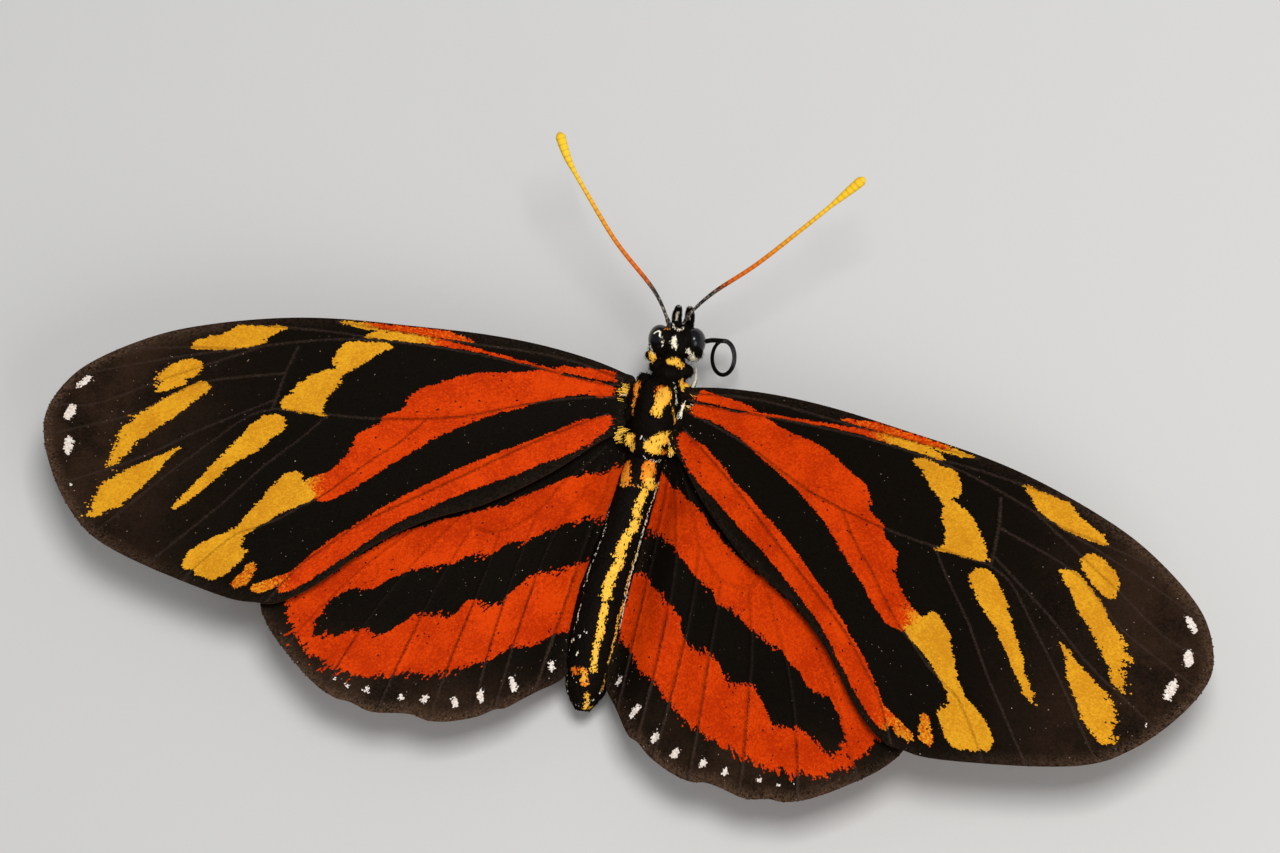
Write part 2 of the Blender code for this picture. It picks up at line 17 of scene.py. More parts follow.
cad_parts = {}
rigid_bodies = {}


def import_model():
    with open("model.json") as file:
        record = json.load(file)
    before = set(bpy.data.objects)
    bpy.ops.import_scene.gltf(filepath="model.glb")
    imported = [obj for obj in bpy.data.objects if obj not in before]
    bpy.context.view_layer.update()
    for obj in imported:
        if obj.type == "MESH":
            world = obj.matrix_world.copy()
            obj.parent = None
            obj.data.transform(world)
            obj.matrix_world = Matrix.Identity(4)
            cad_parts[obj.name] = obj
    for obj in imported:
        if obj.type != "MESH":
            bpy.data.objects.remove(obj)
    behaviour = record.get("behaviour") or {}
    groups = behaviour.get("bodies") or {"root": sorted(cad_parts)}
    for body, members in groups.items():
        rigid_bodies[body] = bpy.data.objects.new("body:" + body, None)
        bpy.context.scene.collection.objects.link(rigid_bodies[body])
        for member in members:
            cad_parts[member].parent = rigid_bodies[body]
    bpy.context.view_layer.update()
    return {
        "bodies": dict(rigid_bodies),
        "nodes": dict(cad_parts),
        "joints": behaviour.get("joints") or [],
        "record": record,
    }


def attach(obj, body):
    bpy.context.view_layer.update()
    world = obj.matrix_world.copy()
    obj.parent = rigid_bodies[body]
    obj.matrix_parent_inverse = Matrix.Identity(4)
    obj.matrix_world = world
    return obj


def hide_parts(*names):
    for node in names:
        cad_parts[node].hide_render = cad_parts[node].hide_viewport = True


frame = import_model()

# %% [markdown]
# ## Units and meshes
# The butterfly's frame has x to its right, y to its head and z up. Its thorax lies a few
# millimetres ahead of the model's middle, so one shift along y takes it to the model's frame.
# Meshes are made from arrays of points and faces, which is much quicker than adding faces one at a
# time, and numbers that a material will read are stored on the points as named attributes.

# %% From millimetres to a mesh
MM = 0.001
FRAME_Y = 2.157
print("the butterfly's origin lies", FRAME_Y, "mm ahead of the model's")


def to_world(points):
    """Millimetres in the butterfly's frame, as metres in the model's."""
    return (np.asarray(points, float) + (0, FRAME_Y, 0)) * MM


def mesh_object(name, points, faces, smooth=True):
    """An object from arrays of points and faces."""
    mesh = bpy.data.meshes.new(name)
    mesh.from_pydata(to_world(points), [], np.asarray(faces, int))
    mesh.polygons.foreach_set("use_smooth", [smooth] * len(mesh.polygons))
    mesh.update()
    made = bpy.data.objects.new(name, mesh)
    bpy.context.scene.collection.objects.link(made)
    return made


# %% Numbers on points, and a piece's place in the model
def store(obj, **values):
    """Store one number for each point, under a name that a material can read."""
    for name, numbers in values.items():
        layer = obj.data.attributes.new(name, "FLOAT", "POINT")
        layer.data.foreach_set("value", np.asarray(numbers, float))
    return obj


def place(piece, slot, *nodes):
    """Fix a piece to the model and let it stand for its plain solids."""
    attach(piece, "root")
    if nodes:
        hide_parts(*nodes)
    return piece


# %% [markdown]
# ## Smooth lines and distances
# Outlines and veins are given by a few points and drawn as Catmull-Rom curves, which pass through
# every point. A marking on the wing is an outline too. Instead of painting it, we measure how far
# each point of the wing lies inside it: the number is zero on the edge, so a material can find the
# edge exactly. The measuring is done once on a fine grid, as a wing carries tens of thousands of
# scales that all ask for it.

# %% Smooth lines
def smooth_through(points, steps, closed=False):
    """Points of a Catmull-Rom curve through the given ones, with steps to each stretch."""
    points = np.asarray(points, float)
    if closed:
        padded = np.vstack([points[-1:], points, points[:2]])
    else:
        padded = np.vstack([2 * points[:1] - points[1:2], points, 2 * points[-1:] - points[-2:-1]])
    t = (np.arange(steps) / steps)[:, None]
    curve = []
    for a, b, c, d in zip(padded, padded[1:], padded[2:], padded[3:]):
        curve.append(0.5 * (2 * b + (c - a) * t + (2 * a - 5 * b + 4 * c - d) * t ** 2
                            + (3 * b - a - 3 * c + d) * t ** 3))
    curve = np.vstack(curve)
    return curve if closed else np.vstack([curve, points[-1:]])


def even(line, step, closed=False):
    """The same line with points at an even step."""
    if closed:
        line = np.vstack([line, line[:1]])
    lengths = np.linalg.norm(np.diff(line, axis=0), axis=1)
    reach = np.concatenate([[0], np.cumsum(lengths)])
    stops = np.linspace(0, reach[-1], max(int(reach[-1] / step), 2) + 1)
    if closed:
        stops = stops[:-1]
    return np.stack([np.interp(stops, reach, column) for column in line.T], 1)


print("a curve through 3 points in steps of a quarter has",
      len(smooth_through([(0, 0), (1, 1), (2, 0)], 4)), "points")

# %% A chart of distances
class Chart:
    """A fine grid over a flat area, on which distances are worked out once and read off anywhere."""

    MARGIN = 0.6

    def __init__(self, outline, cell):
        self.cell, self.low = cell, outline.min(0) - self.MARGIN
        self.size = np.ceil((outline.max(0) + self.MARGIN - self.low) / cell).astype(int) + 1
        self.u, self.v = (self.low[k] + cell * np.arange(self.size[k]) for k in (0, 1))

    def distance(self, line, reach, closed=False):
        """Distance from a line, up to a reach; each stretch of line only fills the cells near it."""
        if closed:
            line = np.vstack([line, line[:1]])
        nearest = np.full(self.size, reach)
        for a, b in zip(line, line[1:]):
            first = np.clip((np.minimum(a, b) - reach - self.low) / self.cell, 0, self.size).astype(int)
            last = np.clip((np.maximum(a, b) + reach - self.low) / self.cell + 2, 0, self.size).astype(int)
            part = slice(first[0], last[0]), slice(first[1], last[1])
            x, y = self.u[part[0]][:, None] - a[0], self.v[part[1]][None] - a[1]
            along = b - a
            t = np.clip((x * along[0] + y * along[1]) / max(along @ along, 1e-12), 0, 1)
            nearest[part] = np.minimum(nearest[part], np.hypot(x - t * along[0], y - t * along[1]))
        return nearest

    def depth(self, outline, reach):
        """Depth inside a closed outline, negative outside it, by counting the edges to each side."""
        inside = np.zeros(self.size, bool)
        for a, b in zip(outline, np.roll(outline, -1, axis=0)):
            rows = (a[1] > self.v) != (b[1] > self.v)
            if rows.any():
                at = a[0] + (self.v[rows] - a[1]) * (b[0] - a[0]) / (b[1] - a[1])
                inside[:, rows] ^= self.u[:, None] < at
        away = self.distance(outline, reach, closed=True)
        return np.where(inside, away, -away)

    def read(self, field, points):
        """A field's values at points, mixed from the four grid points around each."""
        at = np.clip((points - self.low) / self.cell, 0, self.size - 1.001)
        i, j = at.astype(int).T
        s, t = (at - np.floor(at)).T
        near = field[i, j] * (1 - s) + field[i + 1, j] * s
        far = field[i, j + 1] * (1 - s) + field[i + 1, j + 1] * s
        return near * (1 - t) + far * t


def smooth_step(low, high, x):
    """Zero below low, one above high, and a soft rise between."""
    t = np.clip((np.asarray(x, float) - low) / (high - low), 0, 1)
    return t * t * (3 - 2 * t)


square = np.array([(0, 0), (1, 0), (1, 1), (0, 1)], float)
trial = Chart(square, 0.1)
inside = trial.read(trial.depth(square, 1.0), np.array([(0.5, 0.5)]))
print("the middle of a 1 mm square lies", round(float(inside[0]), 2), "mm inside it")

# %% [markdown]
# ## The plan of the wings
# Both wings of a side are outlined in the wing's own plane: u runs out from the wing root and v
# forward of it. The forewing is long and rounded at the tip; the hindwing is rounder, its front part
# lies under the forewing and its inner edge bends down beside the abdomen. A photograph could be
# traced pixel by pixel, but a few dozen points and a smooth curve give a cleaner edge, and one plan
# serves the left side and the right.

# %% Outlines of the wings
ROOT_X, ROOT_Y, ROOT_Z = 1.9, 1.5, 6.0

FOREWING = [
    (-0.4, 1.35), (0.5, 1.75), (3, 2.15), (6.5, 2.33), (10.3, 2.18), (15, 1.68), (20, 1.08), (24, 0.27),
    (28.3, -1.05), (31.7, -2.5), (35, -4.65), (36.9, -6.6), (37.85, -9.1), (37.4, -11.2), (35.9, -13.6),
    (34, -15.6), (31.8, -17), (28, -18), (22.3, -18.85), (20, -18.75), (18.6, -18.45), (16.5, -16.8),
    (13.5, -13.35), (10.5, -10.9), (7, -8.9), (3.5, -6.0), (1, -3.3), (-0.1, -2.3), (-0.5, -1.6),
]
HINDWING = [
    (-0.6, -0.9), (0.8, -1.2), (6, -3.2), (12, -7.4), (17.5, -13.2), (19.7, -16.6), (20.0, -18.4),
    (19.0, -19.95), (17.2, -21.45), (15, -22.9), (13.4, -23.5), (12.3, -23.55), (10.8, -23.85),
    (8.95, -23.5), (8, -23.4), (7, -23.55), (5.6, -23.25), (4, -22.55), (2.9, -21.75), (2.2, -21.45),
    (0.7, -19.71), (-0.5, -18.31), (-0.75, -16.4), (-0.8, -12.6), (-0.85, -9.6), (-0.9, -6.2),
    (-1, -4.9), (-1, -2.9),
]

print("straight out from its root a forewing reaches", max(u for u, v in FOREWING), "mm")

# %% Veins
# Each one: how far it stands up in the wing's folds, then its line
FOREWING_VEINS = {
    "subcosta": (-0.4, [(0.3, 1.3), (5, 1.75), (12, 1.25), (17, 1.0), (20, 0.85)]),
    "radius": (1, [(0.3, 0.85), (2, 0.64), (7, 0.75), (11, 0.7), (14, 0.5), (16.5, 0.2), (20, -0.45),
                   (25, -2.05), (31, -4.2), (36.3, -6.4)]),
    "radius_2": (0, [(16.5, 0.25), (20, 0.1), (25.5, -0.55)]),
    "radius_4": (-0.5, [(26.2, -2.4), (30, -3.1), (33.8, -4.0)]),
    "radius_5": (-0.4, [(24.6, -2.0), (30, -5.2), (34.5, -8.0), (37.2, -8.6)]),
    "cell_end": (0, [(22, -1.4), (22.35, -3.2), (22.5, -5.8)]),
    "cubitus": (0.9, [(0.4, 0.0), (3, -0.7), (5.5, -1.6), (8, -2.75), (10.3, -3.7), (15.1, -4.92),
                      (20, -5.6), (22.5, -5.85)]),
    "media_1": (-0.4, [(22.4, -3.3), (27.3, -4.9), (29.5, -6.3), (31.8, -8.2), (37.3, -10.8)]),
    "media_2": (-0.6, [(22.5, -5.2), (27, -8.3), (30.5, -11), (35.6, -14)]),
    "media_3": (0.5, [(22.3, -5.8), (24, -6.7), (26, -9), (28, -11.4), (30, -14), (32.2, -16.9)]),
    "cubitus_1": (0.5, [(18.7, -5.5), (20, -7.3), (22, -9.8), (24, -12.8), (26, -15.5), (27.9, -18)]),
    "cubitus_2": (-0.8, [(12.2, -4.3), (13.5, -6.1), (15.0, -7.7), (16.4, -9.4), (17.6, -10.8),
                         (18.8, -11.8), (20.0, -12.9), (21.5, -13.95), (22.7, -14.8), (24.6, -17.4),
                         (25.1, -18.4)]),
    "anal": (1, [(0.6, -1.2), (3.5, -3.2), (6.2, -5.3), (9, -7.6), (12, -10), (14.4, -12), (16.3, -14.1),
                 (17.7, -15.8), (19.2, -18.5)]),
}
HINDWING_VEINS = {
    "radius_1": (1, [(0.5, -2), (5, -4.5), (10, -7.5), (15, -11.8), (18.5, -16), (19.7, -18.2)]),
    "radius_s": (-0.5, [(0.5, -2.3), (4, -5.5), (8, -8.5), (11, -11.2), (13.5, -14.2), (15.5, -17.3),
                        (17.6, -21.1)]),
    "cubitus": (0.8, [(0.5, -3), (2.4, -6), (3.6, -8.3), (5.6, -10.2), (7.5, -10.3), (8.2, -9.0)]),
    "media_1": (0.3, [(8, -9.2), (10, -12.5), (12, -16.5), (13.4, -20.5), (14.1, -23.2)]),
    "media_3": (-0.5, [(7.5, -10.3), (8.6, -14), (9.5, -18.5), (10.1, -22), (10.3, -23.7)]),
    "cubitus_1": (0.5, [(5.6, -10.2), (6, -14.5), (6.5, -19), (6.9, -23.4)]),
    "cubitus_2": (-0.5, [(3.6, -8.3), (4.1, -13), (4.3, -18.5), (4.2, -22.6)]),
    "anal_1": (0.5, [(0.6, -4.2), (2.2, -9.5), (2.75, -15.5), (2.9, -21.6)]),
    "anal_2": (-0.3, [(0, -4), (0.4, -10), (0.7, -16), (0.9, -20.0)]),
}


DRAWN_STEP = 0.2


def drawn(points, closed=True):
    """An outline or a line, smooth and with even points."""
    return even(smooth_through(points, 8, closed), DRAWN_STEP, closed)


print(len(FOREWING_VEINS), "veins in a forewing and", len(HINDWING_VEINS), "in a hindwing")

# %% [markdown]
# ## The markings
# The wings are striped orange and black near the body. The outer half is black with yellow spots,
# and small white spots follow the edge. Painting them as an image would blur when looked at
# closely, so each marking is an outline in the wing's plane, in millimetres from the root, and is
# the same on both sides.

# %% Markings of the forewing
FOREWING_YELLOW = {
    "front_spot": [(23.2, -0.2), (24.8, -0.5), (26.5, -0.85), (27, -1.35), (28.2, -2.0), (29.1, -2.5),
                   (29.1, -3), (27, -2.67), (25.9, -2.32), (24.6, -1.75), (24.0, -1.0)],
    "tip_spot_1": [(28.3, -3.68), (28.05, -4.1), (28.2, -4.6), (28.7, -5.25), (29.4, -5.85), (30.2, -6.3),
                   (30.65, -6.2), (30.65, -5.2), (30.3, -4.5), (29.6, -4), (28.9, -3.72)],
    "tip_spot_2": [(27, -5.3), (27.6, -5.05), (28.2, -5.2), (29.4, -6.25), (30.8, -7.55), (31.9, -8.95),
                   (32.4, -10.2), (32.55, -11.9), (32, -11.7), (31.2, -10.5), (30.3, -9.33), (28.8, -7.65),
                   (27.9, -6.5)],
    "tip_spot_3": [(27.85, -9.6), (28.9, -10.35), (30, -11.17), (31.2, -12.05), (32.2, -13.05),
                   (32.65, -14.3), (32.7, -15.4), (32.2, -15.55), (31, -14.7), (29.9, -13.25),
                   (28.9, -11.6), (28.35, -10.4)],
    "middle_spot": [(21.25, -6.7), (21.6, -6.28), (22.4, -6.2), (23.5, -7.1), (24.2, -8.3), (25.3, -10.2),
                    (26.3, -12), (27.15, -13.5), (27.1, -13.95), (26, -12.75), (24.8, -11.1), (23.9, -9.9),
                    (22.6, -8.7), (21.8, -7.6)],
    "cell_spot": [(15.85, -0.1), (16.4, 0.13), (17.6, -0.1), (18.8, -0.35), (19.35, -1.2), (19.3, -1.9),
                  (19.05, -2.15), (19.9, -2.6), (20.9, -3.35), (21.75, -4.6), (22.1, -5.3),
                  (21.8, -5.72), (20, -5.65), (18.6, -5.6), (19.1, -5.3), (19.1, -4.5), (18.6, -3.3),
                  (18.5, -2.6), (17.6, -1.8), (16.6, -0.75)],
    "lower_spot": [(18.1, -11.1), (18.9, -10.25), (19.5, -9.65), (20.25, -9.8), (21.1, -11), (21.95, -12.8),
                   (22.8, -14.3), (23.8, -15.0), (25, -16.1), (25.45, -17), (25.2, -17.6), (24.75, -17.5),
                   (24.2, -17.8), (23.2, -17.85), (22.3, -17.2), (21.5, -15.7), (22, -15.15), (21.6, -14.2),
                   (20.6, -13.2), (19.8, -12.4)],
}
FOREWING_ORANGE = {
    "long_streak": [(4.5, 0.86), (7, 0.99), (9.4, 1.08), (12.8, 1.21), (14.6, 1.11), (16.4, 0.87),
                    (17.5, 0.62), (17.8, 0.22), (16.9, 0.28), (15.4, 0.45), (13.5, 0.66), (11.5, 0.82),
                    (9.4, 0.86), (7, 0.79), (4.5, 0.68)],
    "front_streak": [(10.6, 1.58), (12.6, 1.80), (15, 1.60), (17.1, 1.32), (19.6, 0.94), (19.4, 0.80),
                     (18, 0.74), (16.3, 0.92), (14.5, 1.17), (12.7, 1.30), (11.1, 1.42)],
    "root_streak": [(0.75, 1), (0.9, 1.55), (1.6, 1.62), (3.6, 1.35), (5, 1.05), (4, 0.85), (1.1, 0.92)],
    "cell_band": [(0.6, 0.15), (0.95, 0.68), (3.8, 0.65), (5.5, 0.67), (7.2, 0.15), (9, -0.27),
                  (10.5, -0.8), (12.3, -1.85), (13.3, -2.45), (13.9, -3.45), (13.75, -3.8),
                  (14.5, -4.35), (15.25, -4.87), (15.2, -5.3), (16.4, -6.3), (16.6, -7.4),
                  (17.45, -8.9), (18.8, -9.95), (19.1, -10.3), (18.05, -11.1), (17.06, -11),
                  (15.85, -10), (14.3, -8.4), (12.7, -6.75), (11.1, -5.2), (9.5, -4), (7.9, -2.97),
                  (6.26, -2.1), (4.65, -1.2), (3.03, -0.47), (2.2, -0.25), (1.0, -0.2)],
    "hind_band": [(0.4, -1.3), (1.5, -1.73), (2.3, -2.0), (4.5, -3.66), (7.06, -5.43), (9, -6.85),
                  (10.9, -8.45), (12.7, -9.95), (14.8, -12.15), (16.35, -13.75), (17.55, -15.35),
                  (18.65, -17.1), (18.6, -17.7), (17.55, -17.2), (15.9, -15.5), (14.3, -13.7),
                  (12.7, -11.9), (10.3, -9.9), (7.9, -8.1), (5.45, -6.5), (3.84, -5.3), (2.2, -4.2),
                  (0.55, -2.4)],
    "edge_flecks": [(18.15, -16.2), (18.75, -16.6), (19.5, -17.05), (20.4, -17.6), (20.5, -18.0),
                    (19.6, -17.95), (18.8, -17.3), (18.3, -16.75)],
    "edge_spot": [(20.55, -16.2), (21.0, -16.18), (21.35, -16.9), (21.8, -17.75), (21.6, -18.05),
                  (20.9, -17.8), (20.65, -17.2), (20.6, -16.7)],
}

# White spots: middle, half length, half width and the turn of the long side from the u axis
FOREWING_WHITE = [
    ((35.75, -6.75), 0.60, 0.23, -50), ((36.1, -8.95), 0.60, 0.31, -78), ((35.5, -11.15), 0.68, 0.31, -100),
    ((34.5, -13.7), 0.12, 0.07, -110),
]
print(len(FOREWING_YELLOW), "yellow,", len(FOREWING_ORANGE), "orange and", len(FOREWING_WHITE),
      "white markings")

# %% Markings of the hindwing
HINDWING_ORANGE = [
    (-0.9, -4.3), (-0.1, -4.05), (0.3, -4.54), (1.4, -5.1), (2.5, -5.75), (3.9, -6.9), (6, -8.4),
    (8, -9.45), (10, -10.6), (12.5, -12.2), (15, -14.6), (17, -16.7), (18.3, -17.9), (18.0, -18.4),
    (17.4, -19.4), (16.9, -20.2), (15.9, -20.85), (14.2, -21.4), (12.5, -21.6), (10.7, -21.35),
    (8.8, -20.7), (7, -20.3), (5.2, -19.3), (3.9, -18.5), (3.05, -17.6), (2.4, -17.3), (1.7, -16.94),
    (0.5, -15.62), (-0.6, -14.51), (-1.4, -9.61),
]
HINDWING_STRIPE = [
    (-0.9, -7.71), (0.5, -7.87), (2.2, -9), (3.7, -10.2), (5.2, -11.1), (5.85, -11.85), (6.8, -12),
    (8.3, -13), (10.2, -13.75), (11.7, -14.75), (12.9, -15.85), (14.6, -16.4), (15.65, -17.9),
    (16, -18.9), (15.4, -19.8), (14.1, -19.25), (13.3, -18.7), (11.3, -18.63), (10, -17.1),
    (9.1, -16.6), (7.5, -16.5), (6.4, -15.2), (4.8, -15), (3.8, -13.85), (3.2, -12.8), (1.3, -11.58),
    (0, -10.44), (-0.9, -10.41),
]
# The stripe's outer side: beyond it the veins are black lines
OUTER_SIDE = [(0, 1.3, 3.8, 6.4, 9.1, 11.3, 14.1, 15.5),
              (-10.8, -11.7, -13.85, -15.2, -16.6, -18.6, -19.25, -19.9)]
HINDWING_WHITE = [
    ((0.4, -17.8), 0.34, 0.14, 70), ((2.2, -19.8), 0.56, 0.19, 60), ((4.0, -21.1), 0.42, 0.21, 75),
    ((5.55, -21.9), 0.36, 0.23, 80), ((7.5, -22.1), 0.27, 0.22, 90), ((9.05, -22.3), 0.24, 0.20, 90),
    ((11.35, -22.4), 0.20, 0.16, 90), ((12.65, -22.45), 0.13, 0.12, 0), ((13.6, -22.15), 0.09, 0.07, 0),
]
print("an orange field, a black stripe and", len(HINDWING_WHITE), "white spots")

# %% Depth inside the markings
REACH = 1.6


def deepest(chart, outlines):
    """Depth inside the nearest of some outlines."""
    return np.max([chart.depth(drawn(outline), REACH) for outline in outlines.values()], axis=0)


def spots_depth(chart, spots):
    """Depth inside the nearest of some oval spots."""
    u, v = chart.u[:, None], chart.v[None]
    depth = np.full(chart.size, -9.0)
    for centre, half_length, half_width, turn in spots:
        c, s = math.cos(math.radians(turn)), math.sin(math.radians(turn))
        along = (u - centre[0]) * c + (v - centre[1]) * s
        across = (v - centre[1]) * c - (u - centre[0]) * s
        depth = np.maximum(depth, (1 - np.hypot(along / half_length, across / half_width)) * half_width)
    return depth


print("depths are measured up to", REACH, "mm")

# %% [markdown]
# The orange isn't one colour: it turns golden outwards, along the front streaks first. The black
# turns brown towards the tip. Such slow changes need no outline, only a soft step along u or v.

# %% Marks of the forewing
# Where along u the wing's bands, the foremost streak and the long one turn golden
BANDS_TURN, FRONT_TURNS, LONG_TURNS = (17.1, 19.8), (17.2, 18.8), (12, 15)
# The flecks at the hind edge are less golden: where along v, and by how much
HIND_EDGE, HIND_LOSS = (-15.2, -16.4), 0.48
# The streaks lie ahead of one line, and the foremost is divided from the long one by a sloping line
STREAKS_FROM, DIVIDE_AT, DIVIDE_V, DIVIDE_SLOPE = 0.2, 13, 1.18, 0.055
FRONT_GOLD = 0.2
TIP_BROWN, VEIN_INK = (21, 38), 0.8


def forewing_marks(chart):
    """Depth in orange, yellow and white, and how golden, how brown and how dark along the veins it is."""
    u, v = chart.u[:, None], chart.v[None]
    golden = smooth_step(*BANDS_TURN, u) * (1 - HIND_LOSS * smooth_step(*HIND_EDGE, v))
    foremost = FRONT_GOLD + (1 - FRONT_GOLD) * smooth_step(*FRONT_TURNS, u)
    streaks = np.where(v > DIVIDE_V - DIVIDE_SLOPE * (u - DIVIDE_AT), foremost, smooth_step(*LONG_TURNS, u))
    return {
        "orange": deepest(chart, FOREWING_ORANGE),
        "yellow": deepest(chart, FOREWING_YELLOW),
        "white": spots_depth(chart, FOREWING_WHITE),
        "gold": np.where(v > STREAKS_FROM, streaks, golden),
        "out": smooth_step(*TIP_BROWN, u) + 0 * v,
        "ink": np.full(chart.size, VEIN_INK),
    }


print("the bands turn golden between", BANDS_TURN[0], "and", BANDS_TURN[1], "mm out")

# %% Marks of the hindwing
EDGE_TURNS_BROWN = (-17, -24)
FAINT_INK, INK_TURNS = 0.25, (0.2, -0.5)


def hindwing_marks(chart):
    """The same for the hindwing: one orange field with a ragged black stripe through it."""
    u, v = chart.u[:, None], chart.v[None]
    field, stripe = (chart.depth(drawn(outline), REACH) for outline in (HINDWING_ORANGE, HINDWING_STRIPE))
    return {
        "orange": np.minimum(field, -stripe),
        "yellow": np.full(chart.size, -REACH),
        "white": spots_depth(chart, HINDWING_WHITE),
        "gold": np.zeros(chart.size),
        "out": smooth_step(*EDGE_TURNS_BROWN, v) + 0 * u,
        "ink": FAINT_INK + (1 - FAINT_INK) * smooth_step(*INK_TURNS, v - np.interp(u, *OUTER_SIDE)),
    }


print("from the body to the stripe's outer side a vein has", FAINT_INK, "of its ink")

# %% Both wings in one table
# How far a wing lies below the root and its inner edge bends down, the middle that its scales point
# away from, how ragged its markings are and how much more so towards the tip
WINGS = {
    "forewing": {"outline": drawn(FOREWING), "veins": FOREWING_VEINS, "marks": forewing_marks,
                 "drop": 0.0, "tuck": 0.0, "hub": (-7.0, 1.2), "rag": 0.065, "fray": 2.2},
    "hindwing": {"outline": drawn(HINDWING), "veins": HINDWING_VEINS, "marks": hindwing_marks,
                 "drop": 0.95, "tuck": 1.45, "hub": (-4.0, 1.0), "rag": 0.19, "fray": 0.0},
}
CHART_CELL, RIM_REACH, VEIN_REACH = 0.06, 3.0, 2.4
for name, plan in WINGS.items():
    plan["chart"] = Chart(plan["outline"], CHART_CELL)
    plan["fields"] = plan["marks"](plan["chart"])
    plan["fields"]["rim"] = plan["chart"].depth(plan["outline"], RIM_REACH)
    plan["lines"] = [drawn(line, closed=False) for _, line in plan["veins"].values()]
    plan["away"] = [plan["chart"].distance(line, VEIN_REACH) for line in plan["lines"]]
    plan["fields"]["vein"] = np.min(plan["away"], axis=0)
    print(name, "has", len(plan["lines"]), "veins and a chart of", plan["fields"]["rim"].size, "cells")

# %% [markdown]
# ## The blade of a wing
# A butterfly's wing is a sheet a tenth of a millimetre thick, stiffened by hollow veins and gently
# folded along them like a fan. We spread points evenly over the plan, add points along the outline,
# the veins and their sides, and let Blender's constrained Delaunay triangulation join them all. A
# height for each point then gives the rise, the sag, the folds and the veins. The top and the
# underside share the points, with a rim between them, so the blade is a closed shell.

# %% Height of the wings
# The blade's rise outwards and its sag, half its thickness, and its veins and folds
RISE, ARCH = math.tan(math.radians(4.5)), 0.0016
BLADE_HALF = 0.05
VEIN_HEIGHT, VEIN_WIDTH = 0.09, 0.13
FOLD_HEIGHT, FOLD_WIDTH = 0.10, 0.9
# The veins taper outwards by a share, and folds and veins fade out at the rim
TAPER_SHARE, TAPER_ALONG = 0.55, (4, 30)
FOLDS_FADE, VEINS_FADE = (0, 1.2), (0, 0.3)
# Where along u and v the hindwing's inner edge bends down
TUCK_U, TUCK_V = (2.4, -0.5), (-1.5, -6)


def wing_heights(plan):
    """Height of the middle of a blade, and how far the veins swell it on both faces, on its chart."""
    chart, edge = plan["chart"], plan["fields"]["rim"]
    u, v = chart.u[:, None], chart.v[None]
    folds, swell = np.zeros(chart.size), np.zeros(chart.size)
    taper = 1 - TAPER_SHARE * smooth_step(*TAPER_ALONG, u)
    for (fold, _), away in zip(plan["veins"].values(), plan["away"]):
        folds += fold * FOLD_HEIGHT * np.exp(-(away / FOLD_WIDTH) ** 2)
        swell = np.maximum(swell, VEIN_HEIGHT * taper * np.exp(-(away / (VEIN_WIDTH * taper)) ** 2))
    middle = ROOT_Z + u * RISE - ARCH * u * u - plan["drop"] + folds * smooth_step(*FOLDS_FADE, edge)
    middle -= plan["tuck"] * smooth_step(*TUCK_U, u) * smooth_step(*TUCK_V, v)
    return middle, swell * smooth_step(*VEINS_FADE, edge)


for name, plan in WINGS.items():
    plan["fields"]["middle"], plan["fields"]["swell"] = wing_heights(plan)
    print("the", name, "rises to", round(plan["fields"]["middle"].max(), 2), "mm")


# %% Reading a wing
def value(plan, name, points):
    """One of a wing's fields at some points of its plan."""
    return plan["chart"].read(plan["fields"][name], points)


def on_side(side, points, heights):
    """Points of the plan on one side of the butterfly, in its frame."""
    return np.stack([side * (ROOT_X + points[:, 0]), ROOT_Y + points[:, 1], heights], 1)


cell_height = value(WINGS["forewing"], "middle", np.array([(10.0, -1.5)]))
print("in its cell, 10 mm out, the forewing is", round(float(cell_height[0]), 2), "mm up")

# %% [markdown]
# The plan is triangulated once for each kind of wing. Points closer to a line than half the
# spacing are left out of the even spread, or thin sliver triangles would catch the light.

# %% Points over the plan
def spread(plan, across, along, clearance):
    """Points in even rows, every second one shifted by half a step, at some depth inside the outline."""
    low, high = plan["outline"].min(0), plan["outline"].max(0)
    rows, columns = np.arange(low[1], high[1], across), np.arange(low[0], high[0], along)
    u, v = np.meshgrid(columns, rows)
    u = u + np.where(np.arange(len(rows)) % 2, along / 2, 0)[:, None]
    points = np.stack([u.ravel(), v.ravel()], 1)
    return points[value(plan, "rim", points) > clearance]


def beside(line, offset):
    """The line moved to its left by an offset."""
    along = np.gradient(line, axis=0)
    along /= np.linalg.norm(along, axis=1)[:, None]
    return line + np.stack([-along[:, 1], along[:, 0]], 1) * offset


print("half a millimetre to the left of (0, 0), going along u, is",
      beside(np.array([(0.0, 0.0), (1.0, 0.0)]), 0.5)[0])

# %% Triangulate the plan
# The points' step, and that of the rows in steps, close to an even triangle's height
SPACING, ROW = 0.24, 0.87
# Rows of points along a vein, in its widths, and how far the others stay off, also in its widths
VEIN_ROWS, VEIN_CLEAR = (-1.1, -0.55, 0, 0.55, 1.1), 1.7
RIM_CLEAR, WELD = 0.08, 0.02


def triangulate(plan):
    """Points and triangles of a wing's plan, with rows of points along every vein."""
    outline = even(plan["outline"], SPACING, closed=True)
    points = spread(plan, SPACING * ROW, SPACING, SPACING * 0.5)
    points = points[value(plan, "vein", points) > VEIN_WIDTH * VEIN_CLEAR]
    veins = np.vstack([beside(even(line, SPACING), offset * VEIN_WIDTH)
                       for line in plan["lines"] for offset in VEIN_ROWS])
    veins = veins[value(plan, "rim", veins) > RIM_CLEAR]
    every = [Vector(p) for p in np.vstack([outline, points, veins])]
    flat, _, faces, *_ = delaunay_2d_cdt(every, [], [list(range(len(outline)))], 1, WELD)
    return np.array([tuple(p) for p in flat]), np.array(faces)


for name, plan in WINGS.items():
    plan["flat"], plan["faces"] = triangulate(plan)
    print(name, len(plan["flat"]), "points and", len(plan["faces"]), "triangles on each face")

